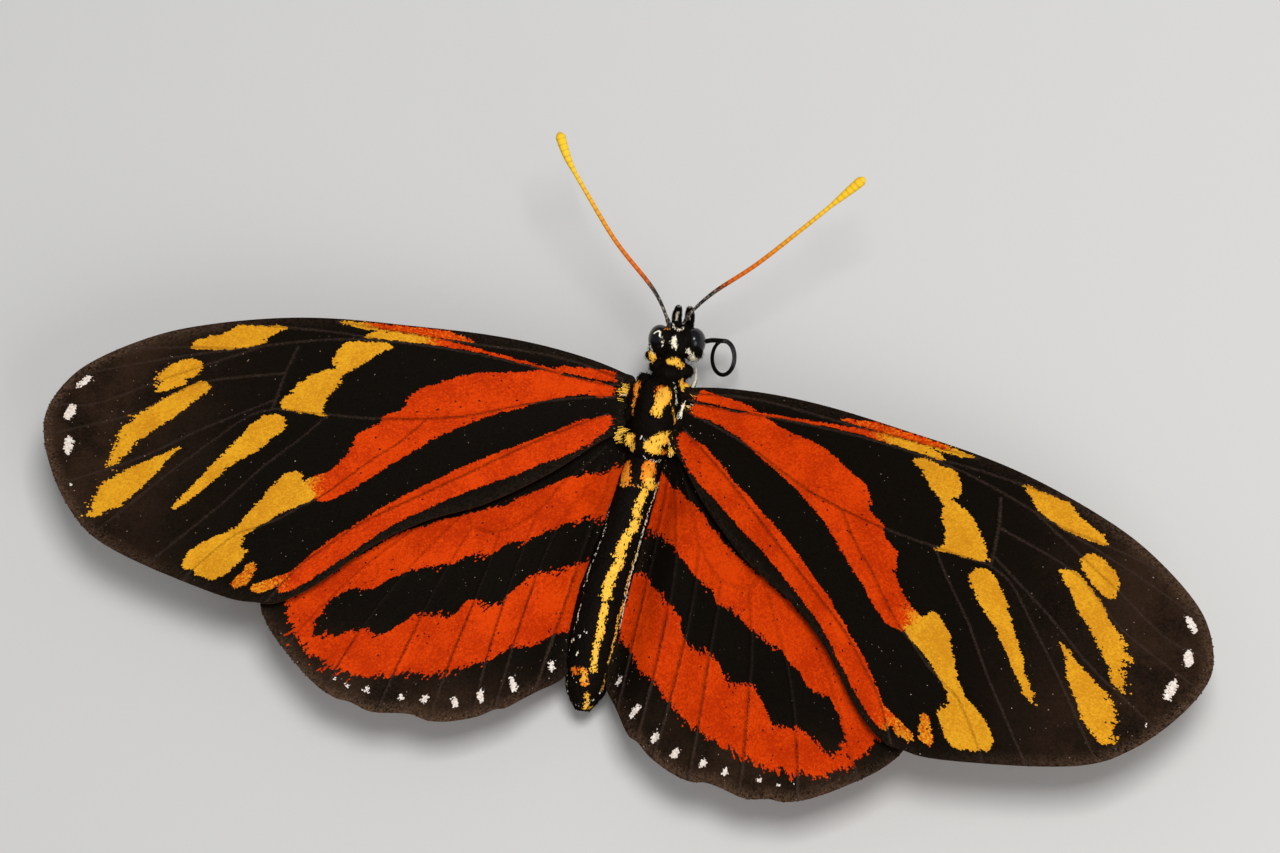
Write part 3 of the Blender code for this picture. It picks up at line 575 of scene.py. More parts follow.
# %% [markdown]
# ## Shader maths as expressions
# A material here is a sum of small steps: a mask, a mix, a little noise. Written as nodes by hand
# they hide the idea, so one small class wraps a socket and lets Python's own operators add the
# nodes. Colours go through Mix, because a Math node would turn them grey.

# %% A socket that understands arithmetic
class Tone:
    """One socket of a material; arithmetic on it adds the nodes that do the sum."""

    def __init__(self, tree, socket=None):
        self.tree, self.socket = tree, socket

    def node(self, kind, settings=None, inputs=None, output=0):
        """Add a node: its settings first, then the values or links of its sockets."""
        made = self.tree.nodes.new(kind)
        for name, setting in (settings or {}).items():
            setattr(made, name, setting)
        for name, value in (inputs or {}).items():
            if isinstance(value, Tone):
                self.tree.links.new(value.socket, made.inputs[name])
            else:
                made.inputs[name].default_value = value
        return Tone(self.tree, made.outputs[output])

    def maths(self, operation, *values):
        """A Math node on this and other values."""
        return self.node("ShaderNodeMath", {"operation": operation}, dict(enumerate(values)))

    def __add__(self, other):
        return self.maths("ADD", self, other)

    def __radd__(self, other):
        return self.maths("ADD", other, self)

    def __sub__(self, other):
        return self.maths("SUBTRACT", self, other)

    def __rsub__(self, other):
        return self.maths("SUBTRACT", other, self)

    def __mul__(self, other):
        return self.maths("MULTIPLY", self, other)

    def __rmul__(self, other):
        return self.maths("MULTIPLY", other, self)

    def step(self, low, high):
        """A soft step from zero below low to one above high."""
        settings = {"interpolation_type": "SMOOTHSTEP"}
        return self.node("ShaderNodeMapRange", settings, {"Value": self, "From Min": low, "From Max": high})

    def mix(self, first, second):
        """The first colour where this is zero, the second where it is one."""
        first, second = ((*c, 1) if isinstance(c, tuple) else c for c in (first, second))
        return self.node("ShaderNodeMix", {"data_type": "RGBA"}, {0: self, 6: first, 7: second}, output=2)


print("a tone can be added, subtracted, multiplied, stepped and used to mix")

# %% Stored numbers, patterns and cells
def stored(tree, name):
    """A number that the mesh stores under a name."""
    return Tone(tree).node("ShaderNodeAttribute", {"attribute_name": name}, output="Fac")


def pattern(tree, kind, size, output=0, **inputs):
    """A procedural texture with features of a size in millimetres."""
    place = Tone(tree).node("ShaderNodeTexCoord", output="Object")
    return Tone(tree).node(kind, None, {"Vector": place, "Scale": 1 / (size * MM), **inputs}, output)


def cells(tree, size):
    """Two random numbers for each cell of a pattern, and the distance from the cell's middle."""
    found = pattern(tree, "ShaderNodeTexVoronoi", size, "Distance")
    colour = Tone(tree, found.socket.node.outputs["Color"])
    split = Tone(tree).node("ShaderNodeSeparateColor", None, {"Color": colour})
    return split, Tone(tree, split.socket.node.outputs["Green"]), found


print("features of 1 mm need a texture scale of", round(1 / MM))

# %% Making a material
def new_material(name, paint, **settings):
    """A Principled material: plain settings on its own sockets, and tones from a painting function."""
    material = bpy.data.materials.new(name)
    material.use_nodes = True
    tree, shader = material.node_tree, material.node_tree.nodes["Principled BSDF"]
    for socket, number in settings.items():
        shader.inputs[socket.replace("_", " ")].default_value = number
    for socket, tone in (paint(tree) if paint else {}).items():
        tree.links.new(tone.socket, shader.inputs[socket])
    return material


def bump(tree, height, strength, distance):
    """A bump from a height, its distance in millimetres."""
    inputs = {"Height": height, "Strength": strength, "Distance": distance * MM}
    return Tone(tree).node("ShaderNodeBump", None, inputs)


trial = new_material("trial", lambda tree: {"Roughness": 1 - stored(tree, "grain") * 0.5})
print("1 - grain * 0.5 adds", len(trial.node_tree.nodes) - 2, "nodes")
bpy.data.materials.remove(trial)

# %% [markdown]
# ## The colour of the wings
# The colours of a butterfly's wing sit on its scales, each one a single colour. The edge of a
# marking is therefore not a line but a row of scales that mix. On the blade itself a cell pattern
# plays the scales: each cell shifts the edge by a little. On the modelled scales further on, each
# scale stores which marking it belongs to, and the same function paints it. A little gloss would
# grey the black scales, so they have almost none.

# %% Colours of the wings
ORANGE, ORANGE_DEEP = (0.69, 0.051, 0.0016), (0.47, 0.026, 0.0010)
GOLD, GOLD_PALE, OCHRE = (0.61, 0.245, 0.010), (0.77, 0.37, 0.016), (0.34, 0.13, 0.008)
BLACK, BROWN, EDGE_BROWN = (0.0045, 0.0032, 0.0020), (0.030, 0.0155, 0.0085), (0.11, 0.062, 0.037)
VEIN_BROWN, VEIN_RUST = (0.044, 0.027, 0.020), (0.075, 0.009, 0.002)
CHALK, CHALK_PINK, DUST = (0.88, 0.83, 0.75), (0.66, 0.52, 0.44), (0.34, 0.21, 0.12)
BUFF = (0.30, 0.17, 0.09)
print("the yellow holds", round(GOLD[1] / ORANGE[1], 1), "times as much green as the orange")


# %% Dark scales
CLOUD_SIZE, RIM_BAND = 4.0, (0.10, 1.1)


def dark_scales(tree, grain, tint):
    """Black that turns brown in clouds towards the tip and at the rim, with pale worn scales."""
    out = stored(tree, "out")
    clouds = pattern(tree, "ShaderNodeTexNoise", CLOUD_SIZE, Detail=6.0, Roughness=0.65)
    dark = (out * clouds.step(0.30, 0.70) + grain * (out * 0.5 + 0.06)).mix(BLACK, BROWN)
    at_rim = 1 - stored(tree, "rim").step(*RIM_BAND)
    dark = (at_rim * (out * 0.8 + 0.1) * grain).mix(dark, EDGE_BROWN)
    return stored(tree, "fleck").mix(dark, tint.mix(DUST, CHALK_PINK))


print("the brown clouds in the black are", CLOUD_SIZE, "mm wide")

# %% The wings' paint
MARK_EDGE, VEIN_EDGE = (-0.02, 0.02), (0.03, 0.12)
CELL, CELL_RAG, PATCH_SIZE, PALER_BELOW = 0.11, 0.3, 2.2, 0.4


def wing_paint(on_scales):
    """The wings' colours, for the blades or for the scales that lie on them."""
    def paint(tree):
        if on_scales:
            grain, tint, rag = stored(tree, "grain"), stored(tree, "tint"), 0.0
        else:
            grain, tint, centre = cells(tree, CELL)
            rag = (grain - 0.5) * CELL_RAG
        orange, yellow, white = ((stored(tree, name) + rag).step(*MARK_EDGE)
                                 for name in ("orange", "yellow", "white"))
        patches = pattern(tree, "ShaderNodeTexNoise", PATCH_SIZE, Detail=4.0)
        warm = (patches + (tint - 0.5) * 0.35).step(0.28, 0.72).mix(ORANGE_DEEP, ORANGE)
        golden = (patches + (tint - 0.5) * 0.45).step(0.25, 0.80).mix(GOLD, GOLD_PALE)
        gilt = (stored(tree, "gold") + (tint - 0.5) * 0.45).step(0.15, 0.85)
        colour = orange.mix(dark_scales(tree, grain, tint), gilt.mix(warm, golden))
        colour = yellow.mix(colour, golden)
        on_vein = (1 - stored(tree, "vein").step(*VEIN_EDGE)) * stored(tree, "inked")
        ink = yellow.mix(orange.mix(VEIN_BROWN, gilt.mix(VEIN_RUST, OCHRE)), OCHRE)
        colour = white.mix(on_vein.mix(colour, ink), tint.mix(CHALK_PINK, CHALK))
        tones = {"Base Color": (stored(tree, "under") * PALER_BELOW).mix(colour, BUFF)}
        if not on_scales:
            tones["Normal"] = bump(tree, 1 - centre, 0.3, 0.02)
        return tones
    return paint


BLADE_PAINT = new_material("wing_blade", wing_paint(False), Roughness=0.7, Specular_IOR_Level=0.03)
SCALE_PAINT = new_material("wing_scales", wing_paint(True), Roughness=0.6, Specular_IOR_Level=0.015)
print("the scales' paint has", len(SCALE_PAINT.node_tree.nodes), "nodes")

# %% [markdown]
# ## The blades
# A real wing is one sheet of two skins grown together. Extruding the plan would leave it flat, so
# both faces are placed by hand from the same points, each pushed off the middle by half the
# thickness and the swell of the veins. The rim joins the two faces along the outline: an edge that
# only one triangle uses is on the outline.

# %% Build the blades
BLADE_INK = 0.6
SIDES = {"left": -1, "right": 1}


def rim_edges(faces):
    """Edges that one triangle only uses, in that triangle's direction."""
    edges = np.vstack([faces[:, [0, 1]], faces[:, [1, 2]], faces[:, [2, 0]]])
    _, first, count = np.unique(np.sort(edges, axis=1), axis=0, return_index=True, return_counts=True)
    return edges[first[count == 1]]


def blade(kind, word, side):
    """One wing's blade as a closed shell with its stored markings."""
    plan = WINGS[kind]
    flat, faces, count = plan["flat"], plan["faces"], len(plan["flat"])
    read = {name: value(plan, name, flat) for name in plan["fields"]}
    middle, thick = read.pop("middle"), BLADE_HALF + read.pop("swell")
    a, b = rim_edges(faces).T
    rim = np.vstack([np.stack([a, a + count, b + count], 1), np.stack([a, b + count, b], 1)])
    every = np.vstack([faces, faces[:, ::-1] + count, rim])[:, ::side]
    both = np.vstack([on_side(side, flat, middle + thick), on_side(side, flat, middle - thick)])
    made = mesh_object(f"{kind}_{word}_blade", both, every)
    store(made, under=np.repeat([0.0, 1.0], count), fleck=np.zeros(count * 2),
          inked=np.tile(read.pop("ink"), 2) * BLADE_INK,
          **{name: np.tile(numbers, 2) for name, numbers in read.items()})
    made.data.materials.append(BLADE_PAINT)
    return place(made, "wings", f"{kind}_{word}")


for kind in WINGS:
    for word, side in SIDES.items():
        print(blade(kind, word, side).name)

# %% [markdown]
# ## Scales on the wings
# Over 180,000 scales lie on the wings like shingles, each rooted towards the body and pointing to
# the margin. A scale is a thin closed wedge of six triangles: four corners on top, wider at the tip,
# and one point sunk into the blade. Its tip is lifted a few hundredths of a millimetre, which gives
# the wing its velvet. Particles would lay them out as quickly, but they can't be exported, so we
# work out all the corners at once as arrays. Each scale takes its colour from the markings at its
# root, moved at random towards or away from the body. Scales of one ray move together, so the edges
# grow the little spikes of the real ones, most of all on the hindwing.

# %% The shape of a scale
SCALE_LENGTH, SCALE_WIDTH, SCALE_LIFT = 0.19, 0.112, 0.020
SCALE_OUTLINE = [(0, -0.32), (0, 0.32), (1.0, 0.48), (1.0, -0.48)]
SCALE_FACES = np.array([(0, 2, 1), (0, 3, 2), (0, 1, 4), (1, 2, 4), (2, 3, 4), (3, 0, 4)])
SUNK_POINT = (0.35, 0)
AROUND_ROOT = np.array(SCALE_OUTLINE + [SUNK_POINT]) - (0.5, 0)
CORNERS = len(SCALE_OUTLINE) + 1


def repeat(faces, corners, count):
    """The faces of one small form, for as many copies of it."""
    return (faces[None] + (np.arange(count) * corners)[:, None, None]).reshape(-1, faces.shape[1])


print("a scale has", len(SCALE_FACES), "triangles on", CORNERS, "points")

# %% [markdown]
# Each piece gets a map called OFBake, which gives each scale its place in an image. On a wing that
# map is the plan itself, where a scale is a tiny patch at its root, so all of a scale gets one
# colour.

# %% A map of the scales' places
PATCH = 0.0015
MAP_SHIFT, MAP_SIDE = (3, 26), 44


def unwrap(obj, at, around):
    """Lay each scale or hair on the map as a patch round its root's place."""
    layer = obj.data.uv_layers.new(name="OFBake")
    corners = np.zeros(len(obj.data.loops), int)
    obj.data.loops.foreach_get("vertex_index", corners)
    layer.data.foreach_set("uv", (at + around * PATCH)[corners].ravel())


print("the map of a wing is", MAP_SIDE, "mm wide, and a scale on it", round(PATCH * MAP_SIDE, 3), "mm long")

# %% Shingle a part of a wing
# How much the lift differs from scale to scale, how crookedly they lean, how far a root lies over
# the blade and its lowest point under it
LIFT_RANGE, CROOKED, ROOT_OVER, POINT_UNDER = (0.4, 1.8), 0.09, 0.004, 0.012
PROBE = 0.05


def wing_coat(name, side, plan, roots, aim, size, rng):
    """The scales of one part of a wing, from their roots, the directions they point in and their sizes."""
    count = len(roots)
    reach, wide = SCALE_LENGTH * size, SCALE_WIDTH * size
    sideways = np.stack([-aim[:, 1], aim[:, 0]], 1)
    top = lambda points: value(plan, "middle", points) + value(plan, "swell", points) + BLADE_HALF
    base = top(roots)
    rise = top(roots + aim * reach[:, None]) - base + SCALE_LIFT * rng.uniform(*LIFT_RANGE, count)
    lean = (top(roots + sideways * PROBE) - base) / PROBE + rng.normal(0, CROOKED, count)
    points = [on_side(side, roots + aim * (SUNK_POINT[0] * reach)[:, None], base - POINT_UNDER)]
    for along, across in reversed(SCALE_OUTLINE):
        spot = roots + aim * (along * reach)[:, None] + sideways * (across * wide)[:, None]
        points.insert(0, on_side(side, spot, base + ROOT_OVER + along * rise + across * wide * lean))
    faces = repeat(SCALE_FACES, CORNERS, count)[:, ::side]
    made = mesh_object(name, np.stack(points, 1).reshape(-1, 3), faces, smooth=False)
    at = np.repeat((roots + MAP_SHIFT) / MAP_SIDE, CORNERS, axis=0)
    unwrap(made, at, np.tile(AROUND_ROOT, (count, 1)))
    made.data.materials.append(SCALE_PAINT)
    return made


print("the tips of scales stand up by", [round(SCALE_LIFT * share, 3) for share in LIFT_RANGE], "mm")

# %% Ragged edges
# Rays round the hub and stretches along each. Points in one stretch of a ray share a number
RAYS, RAYS_A_RADIAN, STRETCHES, STRETCH = 997, 210, 61, 1.3
WAVES, WAVES_RANGE, WAVES_HEIGHT = 7, (0.6, 1.6), 2.6


def spikes(points, hub, rng):
    """A random number for each point, shared by neighbours in the same ray from the hub."""
    away = points - hub
    ray = (np.arctan2(away[:, 1], away[:, 0]) * RAYS_A_RADIAN).astype(int) % RAYS
    table, shift = rng.laplace(0, 0.75, (RAYS, STRETCHES)), rng.uniform(0, 1, RAYS)
    return table[ray, ((np.hypot(*away.T) / STRETCH + shift[ray]) % STRETCHES).astype(int)]


def wobble(points, rng, size, amount):
    """A smooth random shift of each point, from a few crossing waves."""
    shift = np.zeros((len(points), 2))
    for _ in range(WAVES):
        turn, phase, push = rng.uniform(0, 2 * math.pi, 3)
        length = size * rng.uniform(*WAVES_RANGE)
        wave = np.sin(points @ (math.cos(turn), math.sin(turn)) * 2 * math.pi / length + phase)
        shift += wave[:, None] * (math.cos(push), math.sin(push))
    return shift * amount / WAVES_HEIGHT


print("a stretch of a ray is", STRETCH, "mm long")

# %% Comb the wings
# The step of the rows along and across, the bare rim, and how much of the hindwing the forewing hides
ALONG, ACROSS, BARE_RIM, HIDDEN = 0.105, 0.080, 0.14, 0.8
# How far roots and directions stray, where along u the markings fray, and their waves
STRAY, TURN_STRAY, FRAY_U, WAVE_SIZE, WAVE_SHARE = 0.013, 0.10, (29.5, 32), 1.2, 0.6
# The chance above which a scale in the orange is dark, and the shares of worn scales: anywhere, more
# at the tip and more at the root
DARK_ABOVE, WORN, WORN_TIP, WORN_ROOT = 0.996, 0.005, 0.008, 0.05
PIECE_LIMIT = 195000


def wing_scales(kind, word, side, seed):
    """The coat of a wing's upper side, in as many pieces as keep each one light."""
    plan, rng = WINGS[kind], np.random.default_rng(seed)
    roots = spread(plan, ACROSS, ALONG, BARE_RIM)
    roots = roots + rng.normal(0, STRAY, roots.shape)
    if kind == "hindwing":
        roots = roots[value(WINGS["forewing"], "rim", roots) < HIDDEN]
    aim = roots - plan["hub"]
    turn = np.arctan2(aim[:, 1], aim[:, 0]) + rng.normal(0, TURN_STRAY, len(roots))
    aim = np.stack([np.cos(turn), np.sin(turn)], 1)
    rag = plan["rag"] * (1 + plan["fray"] * smooth_step(*FRAY_U, roots[:, 0]))
    rag *= spikes(roots, plan["hub"], rng) + rng.laplace(0, 0.45, len(roots))
    moved = roots + rag[:, None] * aim + wobble(roots, rng, WAVE_SIZE, plan["rag"] * WAVE_SHARE)
    near = roots + rng.normal(0, 0.05, roots.shape)
    values = {name: np.sign(value(plan, name, near if name == "white" else moved))
              for name in ("orange", "yellow", "white")}
    values.update({name: value(plan, name, roots) for name in ("out", "rim", "vein")})
    chance, grain, tint = rng.uniform(0, 1, (3, len(roots)))
    values.update(gold=value(plan, "gold", moved), grain=grain, tint=tint, under=np.zeros(len(roots)),
                  inked=value(plan, "ink", roots) * rng.uniform(0.4, 1.0, len(roots)))
    values["orange"] = np.where(chance > DARK_ABOVE, -1, values["orange"])
    near_root = np.exp(-np.clip(roots[:, 0] + 0.3, 0, None) / 1.3)
    worn = chance < WORN + WORN_TIP * values["out"] + WORN_ROOT * near_root
    values["fleck"] = worn * rng.uniform(0.2, 1.0, len(roots)) ** 2
    size = rng.uniform(0.85, 1.15, len(roots)) * np.where(worn, 0.5, 1)
    order = np.argsort(roots[:, 0], kind="stable")
    parts = np.array_split(order, math.ceil(len(roots) * len(SCALE_FACES) / PIECE_LIMIT))
    for number, part in enumerate(parts):
        name = f"{kind}_{word}_scales_{number}"
        made = wing_coat(name, side, plan, roots[part], aim[part], size[part], rng)
        store(made, **{name: np.repeat(numbers[part], CORNERS) for name, numbers in values.items()})
        place(made, "wings")
        print(made.name, len(made.data.polygons), "triangles")


for kind in WINGS:
    for word, side in SIDES.items():
        wing_scales(kind, word, side, seed=40 + len(kind) + side)

# %% [markdown]
# ## The body
# Head, thorax and abdomen are covered by one skin. We lay simple rounded forms over one another,
# as a sculptor starts with balls of clay, and let a voxel remesh fuse them into one surface without
# seams. Joining them with Booleans would keep a crease at every crossing. The remesh works in
# millimetres, so a voxel is a few hundredths of one.

# %% Rounded forms
def ball(frame, centre, sizes, steps=28):
    """Points and faces of an ellipsoid in a frame: its centre and half sizes."""
    turns = np.linspace(0, 2 * math.pi, steps, endpoint=False)
    tilts = np.linspace(0, math.pi, steps // 2 + 1)[1:-1]
    ring = np.array([(math.sin(tilt) * math.cos(turn), math.sin(tilt) * math.sin(turn), math.cos(tilt))
                     for tilt in tilts for turn in turns])
    points = np.vstack([ring, [(0, 0, 1), (0, 0, -1)]]) * sizes + centre
    rows = len(tilts)
    faces = []
    for row in range(rows - 1):
        for k in range(steps):
            n = (k + 1) % steps
            a, b = row * steps, (row + 1) * steps
            faces += [(a + k, b + k, b + n), (a + k, b + n, a + n)]
    last = (rows - 1) * steps
    for k in range(steps):
        n = (k + 1) % steps
        faces += [(len(ring), k, n), (len(ring) + 1, last + n, last + k)]
    return in_frame(frame, points), np.array(faces)


def in_frame(frame, points):
    """Points given in a local frame, in the butterfly's."""
    matrix = np.array(frame)
    return np.asarray(points, float) @ matrix[:3, :3].T + matrix[:3, 3]


print("a ball has", len(ball(Matrix.Identity(4), (0, 0, 0), (1, 1, 1))[1]), "triangles")

# %% Tubes
def tube(path, radii, sides=16, squash=1.0):
    """Points and faces of a round tube with closed ends along a path."""
    path, radii = np.asarray(path, float), np.broadcast_to(radii, len(path))
    along = np.gradient(path, axis=0)
    along /= np.linalg.norm(along, axis=1)[:, None]
    across = np.cross(along[0], (0, 0, 1) if abs(along[0][2]) < 0.9 else (1, 0, 0))
    turns = np.linspace(0, 2 * math.pi, sides, endpoint=False)
    rings = []
    for centre, direction, radius in zip(path, along, radii):
        across = across - direction * (across @ direction)
        across /= np.linalg.norm(across)
        up = np.cross(across, direction)
        ring = np.cos(turns)[:, None] * across + squash * np.sin(turns)[:, None] * up
        rings.append(centre + radius * ring)
    points = np.vstack(rings + [path[:1], path[-1:]])
    faces = []
    for row in range(len(path) - 1):
        for k in range(sides):
            n = (k + 1) % sides
            a, b = row * sides, (row + 1) * sides
            faces += [(a + k, a + n, b + n), (a + k, b + n, b + k)]
    first, last, start = len(points) - 2, len(points) - 1, (len(path) - 1) * sides
    for k in range(sides):
        n = (k + 1) % sides
        faces += [(first, n, k), (last, start + k, start + n)]
    return points, np.array(faces)


print("a tube with two rings has", len(tube([(0, 0, 0), (0, 1, 0)], 0.5)[1]), "triangles")

# %% Fuse the clay
VOXEL, RELAX_ROUNDS = 0.07, 4


def joined(shapes):
    """Several shapes as one list of points and one of faces."""
    points, faces, count = [], [], 0
    for shape_points, shape_faces in shapes:
        points.append(shape_points)
        faces.append(shape_faces + count)
        count += len(shape_points)
    return np.vstack(points), np.vstack(faces)


def fused(shapes, voxel, rounds):
    """Shapes fused by a voxel remesh in millimetres and then relaxed."""
    points, faces = joined(shapes)
    mesh = bpy.data.meshes.new("fused")
    mesh.from_pydata(points, [], faces)
    clay = bpy.data.objects.new("fused", mesh)
    bpy.context.scene.collection.objects.link(clay)
    remesh = clay.modifiers.new("remesh", "REMESH")
    remesh.mode, remesh.voxel_size = "VOXEL", voxel
    relax = clay.modifiers.new("relax", "SMOOTH")
    relax.factor, relax.iterations = 0.5, rounds
    done = clay.evaluated_get(bpy.context.evaluated_depsgraph_get()).to_mesh()
    places = np.empty(len(done.vertices) * 3)
    done.vertices.foreach_get("co", places)
    done.calc_loop_triangles()
    corners = np.empty(len(done.loop_triangles) * 3, int)
    done.loop_triangles.foreach_get("vertices", corners)
    bpy.data.objects.remove(clay)
    return places.reshape(-1, 3), corners.reshape(-1, 3)


print("a voxel is", VOXEL, "mm wide")

# %% [markdown]
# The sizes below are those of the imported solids, drawn in by the depth of the scales. Small forms
# are added that the solids leave out: the neck, the shoulder plates called tegulae over the wing
# roots, the rims of the eyes and the folds between the abdomen's rings. The body leans a little to
# its right, as in the photograph, so the forms are given in a rolled frame, and the head is turned.

# %% Frames of head and chest
HEAD, HEAD_YAW, HEAD_ROLL = (0.35, 6.2, 5.6), math.radians(9), math.radians(8)
HEAD_TURN = Matrix.Rotation(HEAD_YAW, 4, "Z") @ Matrix.Rotation(HEAD_ROLL, 4, "Y")
HEAD_FRAME = Matrix.Translation(HEAD) @ HEAD_TURN
EYE_OUT, EYE_SIZE = 1.13, (0.76, 0.93, 1.13)
CHEST, CHEST_ROLL = (0.25, 1.1, 5.0), math.radians(8)
CHEST_FRAME = Matrix.Translation(CHEST) @ Matrix.Rotation(CHEST_ROLL, 4, "Y")
UPRIGHT = Matrix.Identity(4)
print("the eyes are", 2 * EYE_SIZE[1], "mm long and", 2 * EYE_SIZE[2], "mm high")

# %% The abdomen
# Its middle line with the radius, and where one ring ends
BACKBONE = [
    (0.22, -2.3, 4.74, 1.20), (0.18, -3.2, 4.62, 1.26), (0.14, -4.2, 4.48, 1.31),
    (0.02, -6.0, 4.25, 1.35), (-0.18, -8.5, 3.95, 1.45), (-0.34, -11.1, 3.50, 1.61),
    (-0.28, -13.6, 3.05, 1.69), (-0.16, -15.9, 2.60, 1.56), (-0.10, -17.4, 2.30, 1.16),
    (-0.02, -18.4, 2.12, 0.52),
]
RING_EDGES = [-3.7, -6.0, -8.5, -11.1, -13.7, -16.0, -17.6]


# A fold's depth with its length ahead and behind, and the swelling before it with its place and length
FOLD_DEPTH, FOLD_AHEAD, FOLD_BEHIND = 0.055, 0.03, 0.10
SWELLING, SWELLING_AT = 0.035, 0.35


def abdomen_form():
    """The abdomen: each ring swells a little and ends in a fold over the next."""
    line = even(smooth_through(BACKBONE, 24), 0.06)
    fold = np.zeros(len(line))
    for edge in RING_EDGES:
        behind = edge - line[:, 1]
        fold += FOLD_DEPTH * np.exp(-(behind / np.where(behind > 0, FOLD_BEHIND, FOLD_AHEAD)) ** 2)
        fold -= SWELLING * np.exp(-((behind + SWELLING_AT) / SWELLING_AT) ** 2)
    return tube(line[:, :3], line[:, 3] - fold, sides=48, squash=1.04)


print("the abdomen has", len(RING_EDGES), "folds")

# %% Forms of chest, neck and head
# Each one: its middle and half sizes. On the leaning chest: the chest, its shield, the scutellum and
# the rear
CHEST_FORMS = [
    ((0, 0, 0), (1.80, 2.5, 2.4)), ((0.12, 0.25, 0.85), (1.34, 2.0, 1.72)),
    ((0.50, -1.90, 1.05), (0.98, 0.62, 0.66)), ((0.05, -2.2, 0.25), (1.32, 1.15, 1.45)),
]
# On both sides of it: half the shield, the flank, the tegula, the shoulder, and two plates behind
CHEST_PAIRS = [
    ((0.42, 0.55, 1.0), (0.98, 1.75, 1.50)), ((1.30, 0.6, -0.6), (0.75, 1.9, 1.2)),
    ((1.62, 0.85, 1.02), (0.46, 0.90, 0.30)), ((1.35, 1.85, 0.75), (0.46, 0.62, 0.50)),
    ((1.62, -0.35, 0.80), (0.40, 0.60, 0.26)), ((1.40, -2.05, 0.78), (0.46, 0.50, 0.36)),
]
# The waist and the neck as tubes, and the collar's ring with its lobes
WAIST, WAIST_RADIUS = [(0.24, -1.6, 4.85), (0.18, -3.2, 4.62)], 1.15
NECK = [(0.38, 2.9, 5.5), (0.42, 3.9, 5.42), (0.40, 5.0, 5.5), (0.35, 5.9, 5.6)]
NECK_RADII = [1.3, 0.98, 0.74, 0.7]
COLLAR_FORMS = [
    ((0.42, 3.9, 5.4), (1.08, 0.78, 1.15)), ((-0.30, 4.25, 5.80), (0.66, 0.50, 0.50)),
    ((1.25, 4.35, 5.62), (0.70, 0.50, 0.52)), ((-0.92, 4.92, 5.72), (0.46, 0.38, 0.46)),
]
# In the turned head: the skull, the face and the crown
HEAD_FORMS = [
    ((0, 0, 0), (0.80, 1.14, 1.15)), ((0, 0.62, -0.05), (0.66, 0.72, 0.90)),
    ((0, -0.45, 0.25), (1.02, 0.70, 0.88)),
]
# On both sides of it: the temple, the cheek and the feeler's socket, then where the palp starts
HEAD_PAIRS = [
    ((0.60, -0.02, 0.0), (0.52, 0.95, 1.12)), ((1.12, -0.58, -0.02), (0.62, 0.58, 0.94)),
    ((0.44, 0.80, 0.60), (0.24, 0.26, 0.24)),
]
PALP_START, PALP_START_SIZE = (0.28, 0.95, -0.72), (0.24, 0.30, 0.30)


# The rim round the inner side of each eye
ORBIT = [(0.72, 0.62, 0.78), (0.84, 0.36, 1.02), (0.88, 0.0, 1.10), (0.86, -0.34, 1.03),
         (0.82, -0.62, 0.80)]


ORBIT_RADIUS = 0.09


def mirrored(side, points):
    """Points given for the right side, on that side (1) or mirrored to the left (-1)."""
    return [(side * x, y, z) for x, y, z in points]


def body_forms():
    """All the rounded forms of head, thorax and abdomen."""
    forms = [abdomen_form()]
    forms += [ball(CHEST_FRAME, middle, sizes) for middle, sizes in CHEST_FORMS]
    for side in (-1, 1):
        forms += [ball(CHEST_FRAME, (side * x, y, z), sizes) for (x, y, z), sizes in CHEST_PAIRS]
    forms.append(tube(WAIST, WAIST_RADIUS, 32))
    forms.append(tube(NECK, NECK_RADII, 24))
    forms += [ball(UPRIGHT, middle, sizes) for middle, sizes in COLLAR_FORMS]
    forms += [ball(HEAD_FRAME, middle, sizes) for middle, sizes in HEAD_FORMS]
    for side in (-1, 1):
        forms += [ball(HEAD_FRAME, (side * x, y, z), sizes) for (x, y, z), sizes in HEAD_PAIRS]
        forms.append(tube(in_frame(HEAD_FRAME, mirrored(side, ORBIT)), ORBIT_RADIUS, 10))
        forms += [ball(HEAD_FRAME, middle, PALP_START_SIZE) for middle in mirrored(side, [PALP_START])]
    return forms


body_points, body_faces = fused(body_forms(), VOXEL, RELAX_ROUNDS)
print("the skin has", len(body_points), "points and", len(body_faces), "triangles")

# %% [markdown]
# ## The body's markings
# The body is black with yellow patches: a stripe down the abdomen, one on each hard plate of the
# thorax, spots behind the head and pale lines round the eyes. Each is a stroke of a brush: a line
# over the skin and a half width. A point's depth is the half width less its distance from the line.
# Painting an image would need a map of the whole skin, while strokes stay sharp at any size.

